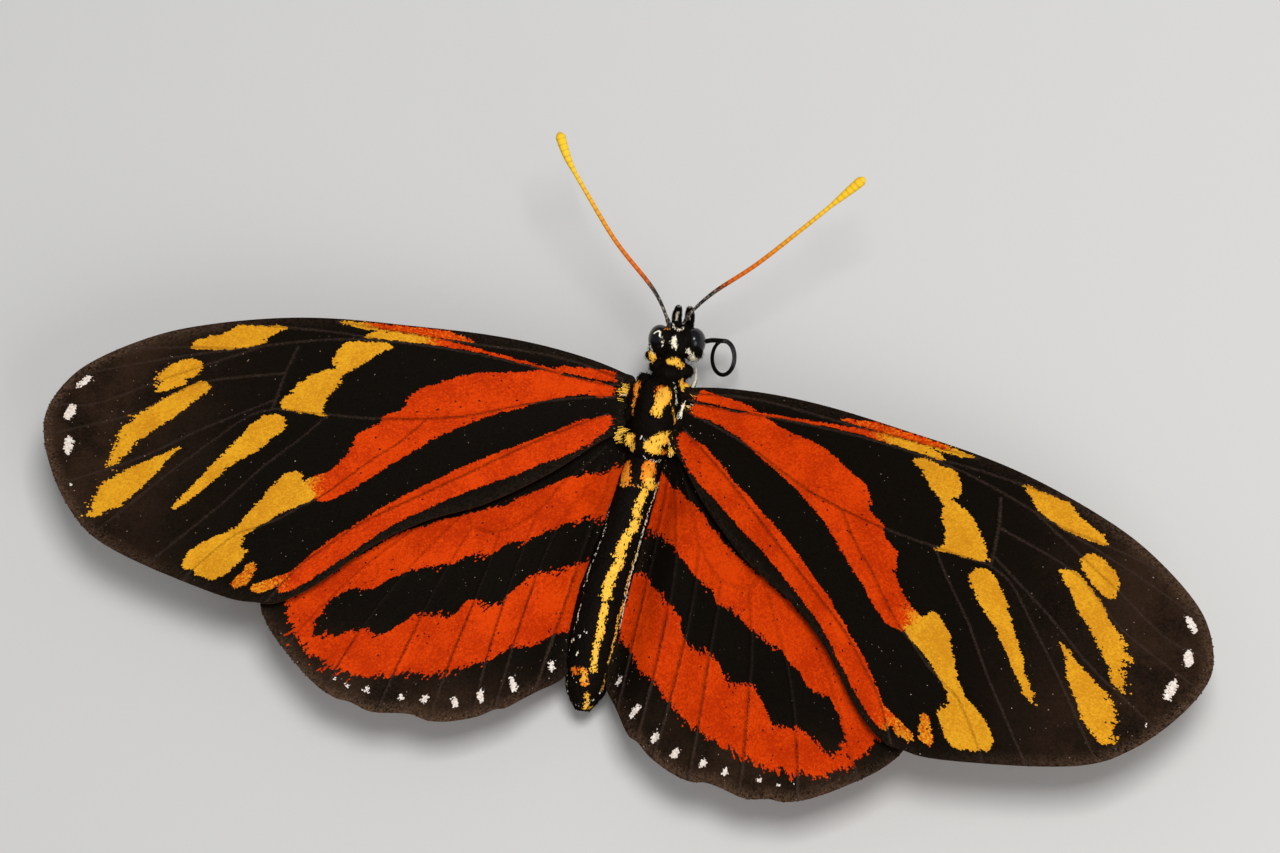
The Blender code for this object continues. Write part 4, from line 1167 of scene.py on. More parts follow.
# %% Golden strokes
GOLDEN = [
    # Half width, how orange it is, and the line: the thorax
    (0.50, 0.30, [(0.88, 2.20, 7.29), (0.90, 1.80, 7.45)]),
    (0.37, 0.12, [(0.84, 1.70, 7.48), (0.76, 0.90, 7.41)]),
    (0.13, 0.85, [(0.33, 2.39, 7.34), (0.59, 2.67, 7.10)]),
    (0.17, 0.65, [(-1.24, 2.73, 6.37), (-1.10, 1.96, 6.52)]),
    (0.14, 0.40, [(-1.10, 1.56, 6.49), (-0.98, 0.69, 6.56)]),
    (0.33, 0.15, [(1.53, 3.51, 5.72), (1.82, 3.27, 5.95), (2.07, 3.01, 5.83)]),
    (0.09, 0.20, [(1.62, 1.44, 6.88), (1.75, 1.04, 6.47), (1.81, 0.79, 6.31)]),
    (0.40, 0.08, [(0.71, -1.27, 6.61), (1.26, -0.66, 6.53), (1.57, -0.27, 6.08)]),
    (0.26, 0.12, [(0.95, -1.43, 6.46), (1.40, -1.27, 6.17)]),
    (0.11, 0.85, [(1.51, -1.34, 5.88), (1.84, -1.15, 5.89)]),
    (0.35, 0.15, [(-0.75, -0.95, 6.23), (-0.56, -1.39, 6.20)]),
    (0.22, 0.08, [(1.80, -0.60, 5.50), (2.19, -0.98, 5.56), (2.07, -1.28, 5.59)]),
    # The abdomen, ring by ring
    (0.42, 0.70, [(-0.67, -2.69, 5.58), (-0.50, -3.58, 5.77)]),
    (0.07, 0.30, [(-1.02, -3.85, 5.30), (-0.30, -3.95, 5.78), (0.60, -3.79, 5.82)]),
    (0.47, 0.65, [(0.88, -2.46, 5.72), (0.93, -3.00, 5.68)]),
    (0.40, 0.15, [(1.02, -3.13, 5.62), (1.18, -3.41, 5.45)]),
    (0.10, 0.05, [(0.60, -3.79, 5.82), (1.17, -3.57, 5.45), (1.45, -3.17, 4.70)]),
    (0.29, 0.05, [(0.96, -4.13, 5.55), (0.84, -4.80, 5.55), (0.81, -5.51, 5.49)]),
    (0.05, 0.00, [(0.75, -5.85, 5.50), (1.20, -5.62, 5.06)]),
    (0.33, 0.05, [(0.88, -6.17, 5.31), (0.64, -6.96, 5.39), (0.48, -7.68, 5.39), (0.40, -8.34, 5.39)]),
    (0.09, 0.00, [(-0.09, -8.59, 5.47), (0.40, -8.42, 5.38), (0.77, -8.35, 5.16)]),
    (0.33, 0.05, [(0.56, -8.86, 5.19), (0.28, -9.68, 5.24), (0.22, -10.59, 5.15), (0.25, -11.24, 5.07)]),
    (0.10, 0.00, [(-0.19, -11.32, 5.16), (0.26, -11.32, 5.04), (0.59, -11.35, 4.82)]),
    (0.25, 0.05, [(0.30, -11.87, 4.95), (0.30, -12.72, 4.85), (0.41, -13.50, 4.72), (0.38, -13.88, 4.65)]),
    (0.21, 0.05, [(0.32, -14.28, 4.59), (0.41, -15.11, 4.37), (0.50, -15.95, 4.15)]),
    (0.09, 0.00, [(0.22, -16.00, 4.24), (0.70, -15.95, 4.03)]),
    (0.19, 0.80, [(-0.97, -16.23, 3.95), (-0.37, -16.23, 4.18)]),
    (0.26, 0.45, [(-0.10, -16.25, 4.18), (0.10, -16.82, 3.92)]),
    (0.16, 0.10, [(0.39, -17.44, 3.51), (0.36, -18.23, 2.73)]),
    (0.08, 0.15, [(0.10, -18.31, 2.81), (0.69, -18.01, 2.41)]),
    (0.07, 0.00, [(1.29, -6.98, 4.45), (1.19, -8.93, 4.37), (1.16, -10.64, 4.19), (1.17, -11.43, 4.04)]),
    (0.11, 0.05, [(1.17, -11.43, 4.04), (1.17, -12.63, 4.03), (1.24, -14.37, 3.71), (1.26, -15.23, 3.51),
                  (1.20, -16.10, 3.28), (1.13, -16.87, 2.99)]),
    # The head
    (0.26, 0.10, [(0.48, 4.64, 6.27), (0.82, 4.75, 6.15), (1.10, 4.63, 6.04)]),
    (0.27, 0.10, [(-0.93, 4.94, 6.05), (-0.78, 4.60, 6.12)]),
    (0.07, 0.40, [(-0.54, 6.55, 6.69), (-0.18, 6.67, 6.56)]),
]
print(len(GOLDEN), "golden strokes, up to", 2 * max(half_width for half_width, *_ in GOLDEN), "mm wide")

# %% Pale and dark strokes
PALE = [
    # Half width and the line: the abdomen's sides
    (0.06, [(-1.20, -5.12, 4.74), (-1.01, -6.96, 5.18), (-1.17, -8.62, 5.02), (-1.43, -9.72, 4.77)]),
    (0.035, [(-1.43, -9.72, 4.77), (-1.37, -11.54, 4.75), (-1.38, -13.68, 4.44), (-1.48, -14.87, 3.97),
             (-1.39, -16.05, 3.66), (-1.22, -17.17, 3.14), (-0.83, -18.05, 2.61), (-0.16, -18.25, 2.90),
             (0.35, -18.08, 2.92), (0.78, -17.59, 3.00), (1.03, -17.14, 3.03)]),
    (0.085, [(1.44, -2.96, 4.60), (1.43, -3.97, 4.72), (1.36, -5.77, 4.66), (1.30, -7.42, 4.35),
             (1.22, -9.15, 4.20), (1.23, -11.10, 3.89), (1.34, -12.83, 3.56), (1.36, -13.70, 3.38),
             (1.42, -14.90, 3.02), (1.42, -15.79, 2.60)]),
    (0.035, [(-1.35, -14.31, 4.27), (-0.87, -14.16, 4.60)]),
    (0.035, [(-0.57, -13.74, 4.82), (-0.26, -14.05, 4.73)]),
    (0.040, [(-0.81, -15.44, 4.31), (-0.78, -15.05, 4.42)]),
    (0.035, [(-0.93, -16.74, 3.73), (-0.53, -16.87, 3.86)]),
    # The thorax
    (0.11, [(1.84, 2.65, 5.98), (2.13, 2.92, 5.69)]),
    # A pale line down the right side of the thorax: partly pale scales, partly a painted highlight on that
    # side
    (0.14, [(2.28, 2.23, 5.97), (2.15, 1.81, 6.05), (2.03, 1.50, 6.04), (1.91, 1.14, 6.09)]),
    (0.05, [(1.10, 3.20, 6.49), (1.43, 2.61, 6.84), (1.63, 2.18, 6.75), (1.72, 1.76, 6.62)]),
    (0.03, [(0.02, -0.80, 6.58), (0.24, -0.95, 6.66), (0.43, -1.23, 6.67)]),
    (0.07, [(0.42, -1.89, 6.27), (1.18, -1.92, 5.63), (1.44, -1.72, 5.20)]),
    # The head, the rims of the eyes, and a squiggle on the left eye that is partly a painted reflection
    (0.15, [(0.40, 6.12, 6.73), (0.45, 5.90, 6.71), (0.61, 5.65, 6.69)]),
    (0.09, [(0.31, 5.90, 6.70), (0.48, 5.71, 6.72)]),
    (0.075, [(-0.02, 7.12, 6.37), (0.08, 6.91, 6.44), (0.34, 6.77, 6.58)]),
    (0.075, [(0.36, 6.74, 6.60), (0.59, 6.78, 6.52), (0.71, 6.98, 6.36)]),
    (0.15, [(1.39, 5.64, 6.27), (1.63, 5.44, 6.13), (1.79, 5.31, 5.73)]),
    (0.34, [(1.67, 5.28, 5.60), (1.78, 5.30, 5.25)]),
    (0.11, [(-1.12, 5.40, 6.25), (-0.99, 5.17, 6.30), (-0.83, 5.00, 6.19)]),
    # A pale squiggle over the top of the left eye: partly pale rim scales, partly a painted reflection of the
    # light on the glossy eye
    (0.05, [(-0.96, 6.10, 6.80), (-0.77, 6.27, 6.85), (-0.60, 6.28, 6.85), (-0.55, 6.02, 6.86),
             (-0.35, 5.90, 6.82), (-0.27, 5.75, 6.78), (-0.29, 5.55, 6.67)]),
]
DARK = [(0.13, [(1.53, -1.01, 6.36), (1.57, -1.09, 6.26)])]
print(len(PALE), "pale strokes and", len(DARK), "dark one")

# %% Depth in a stroke
FAR = 9.0
# The gold turns orange towards its edge: by how much and over what depth
RIM_ORANGE, RIM_WIDTH = 0.35, 0.14


def stroke_depth(points, half_width, line):
    """How deep points lie in a stroke along a line in space."""
    line = smooth_through(line, 4)
    nearest = np.full(len(points), FAR)
    for a, b in zip(line, line[1:]):
        along = b - a
        t = np.clip((points - a) @ along / max(along @ along, 1e-12), 0, 1)
        nearest = np.minimum(nearest, np.linalg.norm(points - a - t[:, None] * along, axis=1))
    return half_width - nearest


def body_marks(points):
    """Depth in the golden and in the pale strokes at points of the skin, and how orange the gold is."""
    gold, pale, warm = np.full(len(points), -FAR), np.full(len(points), -FAR), np.zeros(len(points))
    for half_width, orange, line in GOLDEN:
        depth = stroke_depth(points, half_width, line)
        warm = np.where(depth > gold, orange + RIM_ORANGE * smooth_step(RIM_WIDTH, 0.0, depth), warm)
        gold = np.maximum(gold, depth)
    for half_width, line in DARK:
        gold = np.minimum(gold, -stroke_depth(points, half_width, line))
    for half_width, line in PALE:
        pale = np.maximum(pale, stroke_depth(points, half_width, line))
    return {"gold": gold, "pale": pale, "warm": warm}


trial = stroke_depth(np.array([GOLDEN[0][2][0]], float), *GOLDEN[0][::2])
print("at its first point the first stroke is", round(float(trial[0]), 2), "mm deep")

# %% The body's paint
BODY_GOLD, BODY_GOLD_PALE, BODY_ORANGE = (0.86, 0.44, 0.025), (0.98, 0.66, 0.10), (0.80, 0.16, 0.008)
CREAM = (0.96, 0.84, 0.52)
JET, JET_BROWN = (0.0030, 0.0024, 0.0020), (0.012, 0.0075, 0.0050)
# Size of the bump scales, and how far their cells fray a marking's edge
SKIN_CELL, SKIN_FRAY = 0.07, 0.10


def body_paint(on_scales):
    """The body's colours, for the skin or for the scales and hairs on it."""
    def paint(tree):
        if on_scales:
            grain, tint, rag = stored(tree, "grain"), stored(tree, "tint"), 0.0
        else:
            grain, tint, centre = cells(tree, SKIN_CELL)
            rag = (grain - 0.5) * SKIN_FRAY
        gold, pale = ((stored(tree, name) + rag).step(-0.02, 0.02) for name in ("gold", "pale"))
        dark = (grain * 0.6).mix(JET, JET_BROWN)
        yellow = tint.mix(BODY_GOLD, BODY_GOLD_PALE)
        orange = (stored(tree, "warm") + (tint - 0.5) * 0.5).step(0.1, 1.0)
        colour = gold.mix(dark, orange.mix(yellow, BODY_ORANGE))
        colour = pale.mix(colour, tint.mix(CREAM, CHALK))
        tones = {"Base Color": colour}
        if not on_scales:
            tones["Normal"] = bump(tree, 1 - centre, 0.4, 0.012)
        return tones
    return paint


SKIN_PAINT = new_material("body_skin", body_paint(False), Roughness=0.6, Specular_IOR_Level=0.05)
BODY_SCALE_PAINT = new_material("body_scales", body_paint(True), Roughness=0.6, Specular_IOR_Level=0.02)
print("skin and scales share one paint:", len(SKIN_PAINT.node_tree.nodes), "and",
      len(BODY_SCALE_PAINT.node_tree.nodes), "nodes")

# %% The body's skin
skin = mesh_object("body_skin", body_points, body_faces)
store(skin, **body_marks(body_points))
skin.data.materials.append(SKIN_PAINT)
place(skin, "body", "head", "collar", "thorax", "abdomen")
print("the skin carries", len(GOLDEN) + len(PALE), "strokes")

# %% [markdown]
# ## Scales and hairs on the body
# The abdomen is shingled with flat scales like the wings. The thorax and the head carry narrower
# ones, all lying back, with hairs standing loose between them beside the markings. Tufts of longer
# scales hide the joints of the wings. A hair system could comb them, but plain meshes look the same
# in any program. Flat scales are the same wedges as on the wings. A hair is a three-sided spike that
# bends once.

# %% Roots on the skin
corner_points = body_points[body_faces]
first_edges = corner_points[:, 1] - corner_points[:, 0]
second_edges = corner_points[:, 2] - corner_points[:, 0]
across_faces = np.cross(first_edges, second_edges)
face_areas = np.linalg.norm(across_faces, axis=1) / 2
face_normals = across_faces / (2 * face_areas[:, None] + 1e-12)
face_middles = corner_points.mean(1)
# Points scattered for each root that is kept, and how deep in black a hair has to stand
TRIES, BESIDE_GOLD, BESIDE_PALE = 3, 0.08, 0.14


def roots_on_skin(chosen, spacing, rng):
    """Evenly spaced roots on the chosen faces of the skin, with their normals: one per small cube."""
    faces = np.flatnonzero(chosen)
    count = int(face_areas[faces].sum() / spacing ** 2 * TRIES)
    picked = rng.choice(faces, count, p=face_areas[faces] / face_areas[faces].sum())
    a, b = rng.uniform(0, 1, (2, count))
    flip = a + b > 1
    a, b = np.where(flip, 1 - a, a)[:, None], np.where(flip, 1 - b, b)[:, None]
    one, two, three = (corner_points[picked, k] for k in range(3))
    points = one + a * (two - one) + b * (three - one)
    _, first = np.unique(np.floor(points / spacing).astype(int), axis=0, return_index=True)
    return points[first], face_normals[picked[first]]


def off_the_marks(points, normals):
    """Only those roots that lie beside the markings."""
    marks = body_marks(points)
    plain = (marks["gold"] < -BESIDE_GOLD) & (marks["pale"] < -BESIDE_PALE)
    return points[plain], normals[plain]


def combed(normals, direction, rng, loose):
    """Directions along the skin, close to a given one, with some disorder."""
    aim = np.broadcast_to(direction, normals.shape) + rng.normal(0, loose, normals.shape)
    aim = aim - normals * (aim * normals).sum(1)[:, None]
    return aim / (np.linalg.norm(aim, axis=1)[:, None] + 1e-9)


print("the skin's area is", round(face_areas.sum()), "square millimetres")

# %% One coat of scales or hairs
HAIR_FACES = np.array([(1, 0, 3), (1, 3, 4), (2, 1, 4), (2, 4, 5), (0, 2, 5), (0, 5, 3), (4, 3, 6),
                       (5, 4, 6), (3, 5, 6), (0, 1, 2)])
HAIR_AROUND = [(-0.5, -0.3), (-0.5, 0), (-0.5, 0.3), (0, -0.3), (0, 0), (0, 0.3), (0.5, 0)]
# How far a scale's root stands over the skin, and how far its low corner and a hair's root are sunk
SCALE_OVER, SCALE_SUNK, HAIR_SUNK = 0.004, 0.02, 0.03
# How far a colour strays from its place, and the share of dark scales in the gold
COLOUR_STRAY, DARK_IN_GOLD = 0.045, 0.07


def spread_at(at, wide, side, normals):
    """Three points round a hair's middle line."""
    return [at + side * wide, at - side * wide * 0.6 + normals * wide * 0.8,
            at - side * wide * 0.6 - normals * wide * 0.5]


def body_coat(name, slot, points, normals, aim, length, width, lift, rng, hairs=False, marks=None):
    """Scales or hairs on the skin: arrays of roots, normals and directions, and the sizes of one."""
    count = len(points)
    size = rng.uniform(0.75, 1.25, count)[:, None]
    length, side = length * size, np.cross(normals, aim)
    lift = lift * rng.uniform(0.5, 1.6, (count, 1))
    if hairs:
        low, middle = points - normals * HAIR_SUNK, points + aim * length * 0.5 + normals * lift * 0.75
        tip = points + aim * length + normals * lift * 0.9 + side * length * rng.normal(0, 0.12, (count, 1))
        stack = spread_at(low, width, side, normals) + spread_at(middle, width * 0.8, side, normals) + [tip]
        faces, around = HAIR_FACES, HAIR_AROUND
    else:
        stack = [points + aim * length * along + side * width * across + normals * (SCALE_OVER + along * lift)
                 for along, across in SCALE_OUTLINE]
        stack.append(points + aim * length * SUNK_POINT[0] - normals * SCALE_SUNK)
        faces, around = SCALE_FACES, AROUND_ROOT
    corners = np.stack(stack, 1).reshape(-1, 3)
    made = mesh_object(name, corners, repeat(faces, len(stack), count), smooth=hairs)
    theta = np.arctan2(points[:, 0] - 0.2, points[:, 2] - 4.5) / (2 * math.pi) + 0.5
    at = np.stack([theta, (points[:, 1] + 20) / 30], 1) * 0.96 + 0.02
    unwrap(made, np.repeat(at, len(stack), axis=0), np.tile(around, (count, 1)))
    values = marks or body_marks(points + rng.laplace(0, COLOUR_STRAY, points.shape))
    values = {name: np.sign(numbers) if name != "warm" else numbers for name, numbers in values.items()}
    values["gold"] = np.where(rng.uniform(0, 1, count) < DARK_IN_GOLD, -1, values["gold"])
    values.update(grain=rng.uniform(0, 1, count), tint=rng.uniform(0, 1, count))
    store(made, **{name: np.repeat(numbers, len(stack)) for name, numbers in values.items()})
    made.data.materials.append(BODY_SCALE_PAINT)
    print(name, len(made.data.polygons), "triangles")
    return place(made, slot)


print("a scale has", len(SCALE_FACES), "faces and a hair", len(HAIR_FACES))

# %% Comb the body
BACK = np.array((0.0, -1.0, 0.0))
face_y, face_z = face_middles[:, 1], face_middles[:, 2]
rng = np.random.default_rng(7)


def cover(name, chosen, spacing, loose, sizes, hairs=False):
    """Comb scales or hairs back over the chosen faces: length, width and lift of one are its sizes."""
    points, normals = roots_on_skin(chosen, spacing, rng)
    if hairs:
        points, normals = off_the_marks(points, normals)
    body_coat(name, "body", points, normals, combed(normals, BACK, rng, loose), *sizes, rng, hairs)


on_thorax = (face_y > -2.2) & (face_y < 3.6)
neck_and_face = (face_y >= 3.3) & (face_y < 6.0) | (face_y > 6.2) & (face_z < 5.6)
cover("abdomen_scales", face_y < -2.2, 0.085, 0.12, (0.20, 0.10, 0.018))
cover("thorax_scales", on_thorax, 0.085, 0.25, (0.19, 0.06, 0.025))
cover("thorax_hairs", on_thorax & (face_z < 6.6), 0.16, 0.35, (0.38, 0.018, 0.12), True)
cover("head_scales", face_y >= 3.6, 0.085, 0.3, (0.16, 0.055, 0.03))
cover("head_hairs", neck_and_face, 0.17, 0.5, (0.32, 0.018, 0.12), True)

# %% Tufts at the wing roots
# Each one: its middle and how far it spreads, its direction, how many scales and how long, the
# shares of golden and of white ones, and how orange the gold is
TUFTS = {
    "tuft_front_left": ((-1.85, 2.05, 6.20), (0.13, 0.22, 0.03), (-1, -0.25, 0.0),
                        170, 0.42, 0.72, 0.04, 0.30),
    "tuft_front_right": ((2.35, 1.95, 6.18), (0.13, 0.26, 0.03), (1, -0.35, 0.0),
                         150, 0.38, 0.55, 0.10, 0.40),
    "tuft_rear_left": ((-1.25, -0.80, 6.20), (0.16, 0.20, 0.04), (-1, -0.50, 0.0),
                       130, 0.36, 0.80, 0.05, 0.12),
    "tuft_rear_right": ((2.10, -0.75, 5.95), (0.14, 0.28, 0.04), (0.6, -0.9, 0.0),
                        150, 0.38, 0.70, 0.10, 0.12),
    # A streak of white scales down the right side of the thorax: partly pale scales, partly a painted
    # highlight on that side
    "streak_right": ((2.12, 1.78, 6.19), (0.03, 0.27, 0.02), (-0.35, -1, 0.0),
                     60, 0.24, 0.0, 1.0, 0.0),
}
TUFT_DISORDER, TUFT_WIDTH, TUFT_LIFT = (0.26, 0.26, 0.08), 0.045, 0.05


def root_tuft(name, centre, spread, direction, count, length, golden, white, orange):
    """A loose tuft of long scales at a wing root."""
    points = np.array(centre) + rng.normal(0, 1, (count, 3)) * spread
    aim = np.array(direction) + rng.normal(0, 1, (count, 3)) * TUFT_DISORDER
    aim /= np.linalg.norm(aim, axis=1)[:, None]
    normals = np.cross(np.cross(aim, (0, 0, 1)), aim)
    normals /= np.linalg.norm(normals, axis=1)[:, None]
    chance = rng.uniform(0, 1, count)
    marks = {"gold": np.where(chance < golden, 1.0, -1.0), "pale": np.where(chance > 1 - white, 1.0, -1.0),
             "warm": np.full(count, orange)}
    body_coat(name, "body", points, normals, aim, length, TUFT_WIDTH, TUFT_LIFT, rng, False, marks)


for name, values in TUFTS.items():
    root_tuft(name, *values)

# %% [markdown]
# ## Eyes
# An eye of a butterfly is a glossy dome of thousands of facets, black here. Modelled facets would be
# too fine to see, so each dome is a smooth ball set into the skin, with its facets as bump. The pale
# lines of the eye's rim run a little way over it. On the left eye a pale squiggle is painted that is
# partly rim scales and partly a painted reflection.

# %% Eyes
FACET, EYE_BLACK, EYE_BLUE = 0.045, (0.002, 0.002, 0.003), (0.005, 0.006, 0.009)


def eye_paint(tree):
    """Black facets with a little blue, and pale strokes where they reach over it: rim scales, and on the left
    eye a squiggle that is partly a painted reflection.
    """
    grain, tint, centre = cells(tree, FACET)
    # Pale where strokes reach over the eye; on the left eye this is partly a painted reflection
    pale = (stored(tree, "pale") + (grain - 0.5) * 0.06).step(-0.01, 0.01)
    facets = (tint * 0.5).mix(EYE_BLACK, EYE_BLUE)
    return {"Base Color": pale.mix(facets, tint.mix(CREAM, CHALK)),
            "Normal": bump(tree, 1 - centre, 0.2, 0.008)}


EYE_PAINT = new_material("eye", eye_paint, Roughness=0.25, Specular_IOR_Level=0.18, Coat_Weight=0.3,
                         Coat_Roughness=0.04)
for word, side in SIDES.items():
    points, faces = ball(HEAD_FRAME, (side * EYE_OUT, 0.05, 0), EYE_SIZE, steps=96)
    eye = mesh_object(f"eye_{word}_facets", points, faces)
    store(eye, pale=body_marks(points)["pale"])
    eye.data.materials.append(EYE_PAINT)
    place(eye, "eyes", f"eye_{word}")
    print(eye.name, len(faces), "triangles")

# %% [markdown]
# ## Palps
# Two palps reach forward from the face like a short snout, black with a white stripe and a white
# dot. They could be part of the skin, but their tips are too fine for its voxels. So each is a tube
# of its own, thickest in the middle, with hairs all round that are combed forward.

# %% A drawn tube
def drawn_tube(name, line, radii, sides, squash=1.0):
    """A tube as an object, and how far along it each of its points is, from 0 to 1."""
    points, faces = tube(line, radii, sides, squash)
    along = np.append(np.repeat(np.linspace(0, 1, len(line)), sides), [0, 1])
    return mesh_object(name, points, faces), points, along


def dark_paint(tree):
    """Black with a pale stripe where the mesh stores one."""
    grain, tint, centre = cells(tree, 0.06)
    pale = (stored(tree, "pale") + (grain - 0.5) * 0.06).step(-0.02, 0.02)
    return {"Base Color": pale.mix(grain.mix(JET, JET_BROWN), tint.mix(CREAM, CHALK)),
            "Normal": bump(tree, 1 - centre, 0.4, 0.012)}


DARK_PAINT = new_material("dark_scaled", dark_paint, Roughness=0.5, Specular_IOR_Level=0.12)
print(DARK_PAINT.name, "is for the palps and the legs")

# %% Palps
PALP_MIDDLE = 0.22
PALP = [(0.42, 0.70, -0.62, 0.20), (0.42, 1.25, -0.55, 0.26), (0.42, 1.85, -0.38, 0.25),
        (0.38, 2.20, -0.24, 0.16), (0.36, 2.36, -0.16, 0.05)]
STRIPE_HALF, DOT_HALF = 0.075, 0.04
# Between which shares of its length a palp has hairs, how many at each point, and their sizes
HAIRY_FROM, HAIRY_TO, HAIRS_AT_POINT, PALP_HAIR = 0.12, 0.96, 3, (0.20, 0.014, 0.05)
FORWARD = np.array(HEAD_FRAME.to_3x3() @ Vector((0, 0.8, 0.6)))


def by_palp(side, points):
    """Points given beside the palps' middle, on one side of it."""
    return in_frame(HEAD_FRAME, [(PALP_MIDDLE + side * x, y, z) for x, y, z in points])


def palp_hairs(word, line, points, along, marked):
    """Hairs all round a palp, combed forward, with its markings."""
    on = np.flatnonzero((along > HAIRY_FROM) & (along < HAIRY_TO))
    each = HAIRS_AT_POINT
    roots = np.repeat(points[on], each, axis=0) + rng.normal(0, 0.02, (len(on) * each, 3))
    core = line[np.minimum((np.repeat(along[on], each) * len(line)).astype(int), len(line) - 1), :3]
    out = roots - in_frame(HEAD_FRAME, core)
    out /= np.linalg.norm(out, axis=1)[:, None]
    marks = {"gold": np.full(len(roots), -1.0), "warm": np.zeros(len(roots)), "pale": marked(roots)}
    aim = combed(out, FORWARD, rng, 0.3)
    body_coat(f"palp_{word}_hairs", "palps", roots, out, aim, *PALP_HAIR, rng, True, marks)


for word, side in SIDES.items():
    line = smooth_through([(PALP_MIDDLE + side * x, y, z, r) for x, y, z, r in PALP], 8)
    middle_line = in_frame(HEAD_FRAME, line[:, :3])
    palp, points, along = drawn_tube(f"palp_{word}_scaled", middle_line, line[:, 3], 20)
    stripe = by_palp(side, [(0.43, 1.53 + side * 0.08, -0.24), (0.40, 1.90, -0.12)])
    dot = by_palp(side, [(0.37, 2.28, -0.12), (0.37, 2.34, -0.12)])
    marked = lambda at: np.maximum(stroke_depth(at, STRIPE_HALF, stripe), stroke_depth(at, DOT_HALF, dot))
    store(palp, pale=marked(points))
    palp.data.materials.append(DARK_PAINT)
    place(palp, "palps", f"palp_{word}")
    palp_hairs(word, line, points, along, marked)

# %% [markdown]
# ## Feelers
# A feeler is a thin shaft of many short rings with a club at its end: sooty with pale flecks at the
# root, then orange, with a yellow club. One could stack a piece per ring. We swell a single tube a
# little at each ring and darken the joints in the paint, so that it stays one smooth form.

# %% Paint of the feelers
SOOT, ASH = (0.016, 0.012, 0.010), (0.42, 0.36, 0.28)
FLAME, CLUB_YELLOW = (0.72, 0.130, 0.004), (0.95, 0.56, 0.025)


def feeler_paint(tree):
    """Sooty root with pale flecks, orange shaft and yellow club, with a faint line at each ring."""
    along, ring = stored(tree, "along"), stored(tree, "ring")
    grain, tint, centre = cells(tree, 0.06)
    shade = along + (grain - 0.5) * 0.08
    sooty = (grain.step(0.72, 0.80) * 0.7).mix(SOOT, ASH)
    colour = shade.step(0.22, 0.30).mix(sooty, shade.step(0.32, 0.88).mix(FLAME, CLUB_YELLOW))
    colour = (ring * (1 - along * 0.5) * 0.5).mix(colour, SOOT)
    return {"Base Color": colour, "Normal": bump(tree, 1 - centre, 0.3, 0.01)}


FEELER_PAINT = new_material("feeler", feeler_paint, Roughness=0.55, Specular_IOR_Level=0.12)
print("the feelers' paint has", len(FEELER_PAINT.node_tree.nodes), "nodes")

# %% Feelers
FEELERS = {
    "left": [(-0.02, 6.3, 6.3), (-0.40, 7.25, 6.75), (-1.70, 8.86, 7.37), (-4.60, 11.11, 8.46),
             (-7.00, 13.50, 9.46), (-8.76, 15.41, 10.23), (-9.80, 17.04, 10.80)],
    "right": [(0.50, 7.0, 6.1), (1.00, 8.0, 6.62), (2.25, 9.50, 7.20), (4.69, 11.60, 8.15),
              (7.10, 14.05, 9.20), (9.20, 16.30, 10.10), (10.82, 18.08, 10.80)],
}
# Radii at the root, along the shaft and at the club, and the lengths of the club and its blunt tip
ROOT_SHAFT, SHAFT, CLUB, CLUB_LENGTH, TIP_LENGTH = 0.095, 0.14, 0.33, 3.0, 0.32
# The thicker joint near the root: where it is, how much thicker and how long
JOINT_AT, JOINT_SWELL, JOINT_LENGTH = 0.9, 0.05, 0.28
# A ring's length, how far it swells, and the dark share of it
RING, RING_SWELL, RING_DARK = 0.40, 0.035, 0.26
FEELER_STEP, FEELER_SIDES = 0.05, 18


def feeler_radii(walked):
    """Radii along a feeler without its rings."""
    left = walked[-1] - walked
    swell = np.sin(np.clip(1 - left / CLUB_LENGTH, 0, 1) ** 1.2 * math.pi * 0.5)
    shaft = ROOT_SHAFT + (SHAFT - ROOT_SHAFT) * smooth_step(0.0, 0.30, walked / walked[-1])
    joint = JOINT_SWELL * np.exp(-((walked - JOINT_AT) / JOINT_LENGTH) ** 2)
    radii = shaft + (CLUB - shaft) * swell + joint
    return radii * np.sqrt(np.clip(left / TIP_LENGTH, 0.02, 1))


for word, points in FEELERS.items():
    line = even(smooth_through(points, 12), FEELER_STEP)
    walked = np.arange(len(line)) * FEELER_STEP
    phase = (walked % RING) / RING
    radii = feeler_radii(walked) * (1 + RING_SWELL * np.sin(phase * math.pi))
    feeler, points, along = drawn_tube(f"antenna_{word}_ringed", line, radii, FEELER_SIDES)
    ring = np.append(np.repeat(phase < RING_DARK, FEELER_SIDES) * 0.75, [0, 0])
    store(feeler, along=along, ring=ring)
    feeler.data.materials.append(FEELER_PAINT)
    place(feeler, "antennae", f"antenna_{word}")
    print(feeler.name, "is", round(float(walked[-1]), 1), "mm long")

# %% [markdown]
# ## Tongue
# The tongue is a glossy black sucking tube that the butterfly keeps coiled. Here it hangs in an open
# loop to the right of the head. It consists of two halves side by side, so two thin tubes follow one
# drawn line. A single flattened tube would lack the groove between them.

# %% Tongue
LOOP_CENTRE, LOOP_HALF, LOOP_LEAN = (3.27, 6.18), (0.74, 1.17), math.radians(15)
LOOP_START, LOOP_SWEEP, LOOP_TOP, LOOP_SINK = math.radians(100), math.radians(-380), 4.0, 0.85
LOOP_DRIFT = (-0.21, 0.23)
MOUTH = [(0.45, 6.60, 4.35), (0.75, 6.93, 4.05), (1.35, 6.97, 4.0), (1.85, 7.05, 4.0), (2.25, 7.20, 4.0)]
# How far a half lies from the middle line, its radius, and how thin both get towards the end
FROM_MIDDLE, HALF_RADIUS, END_SHARE = 0.05625, 0.118, 0.68

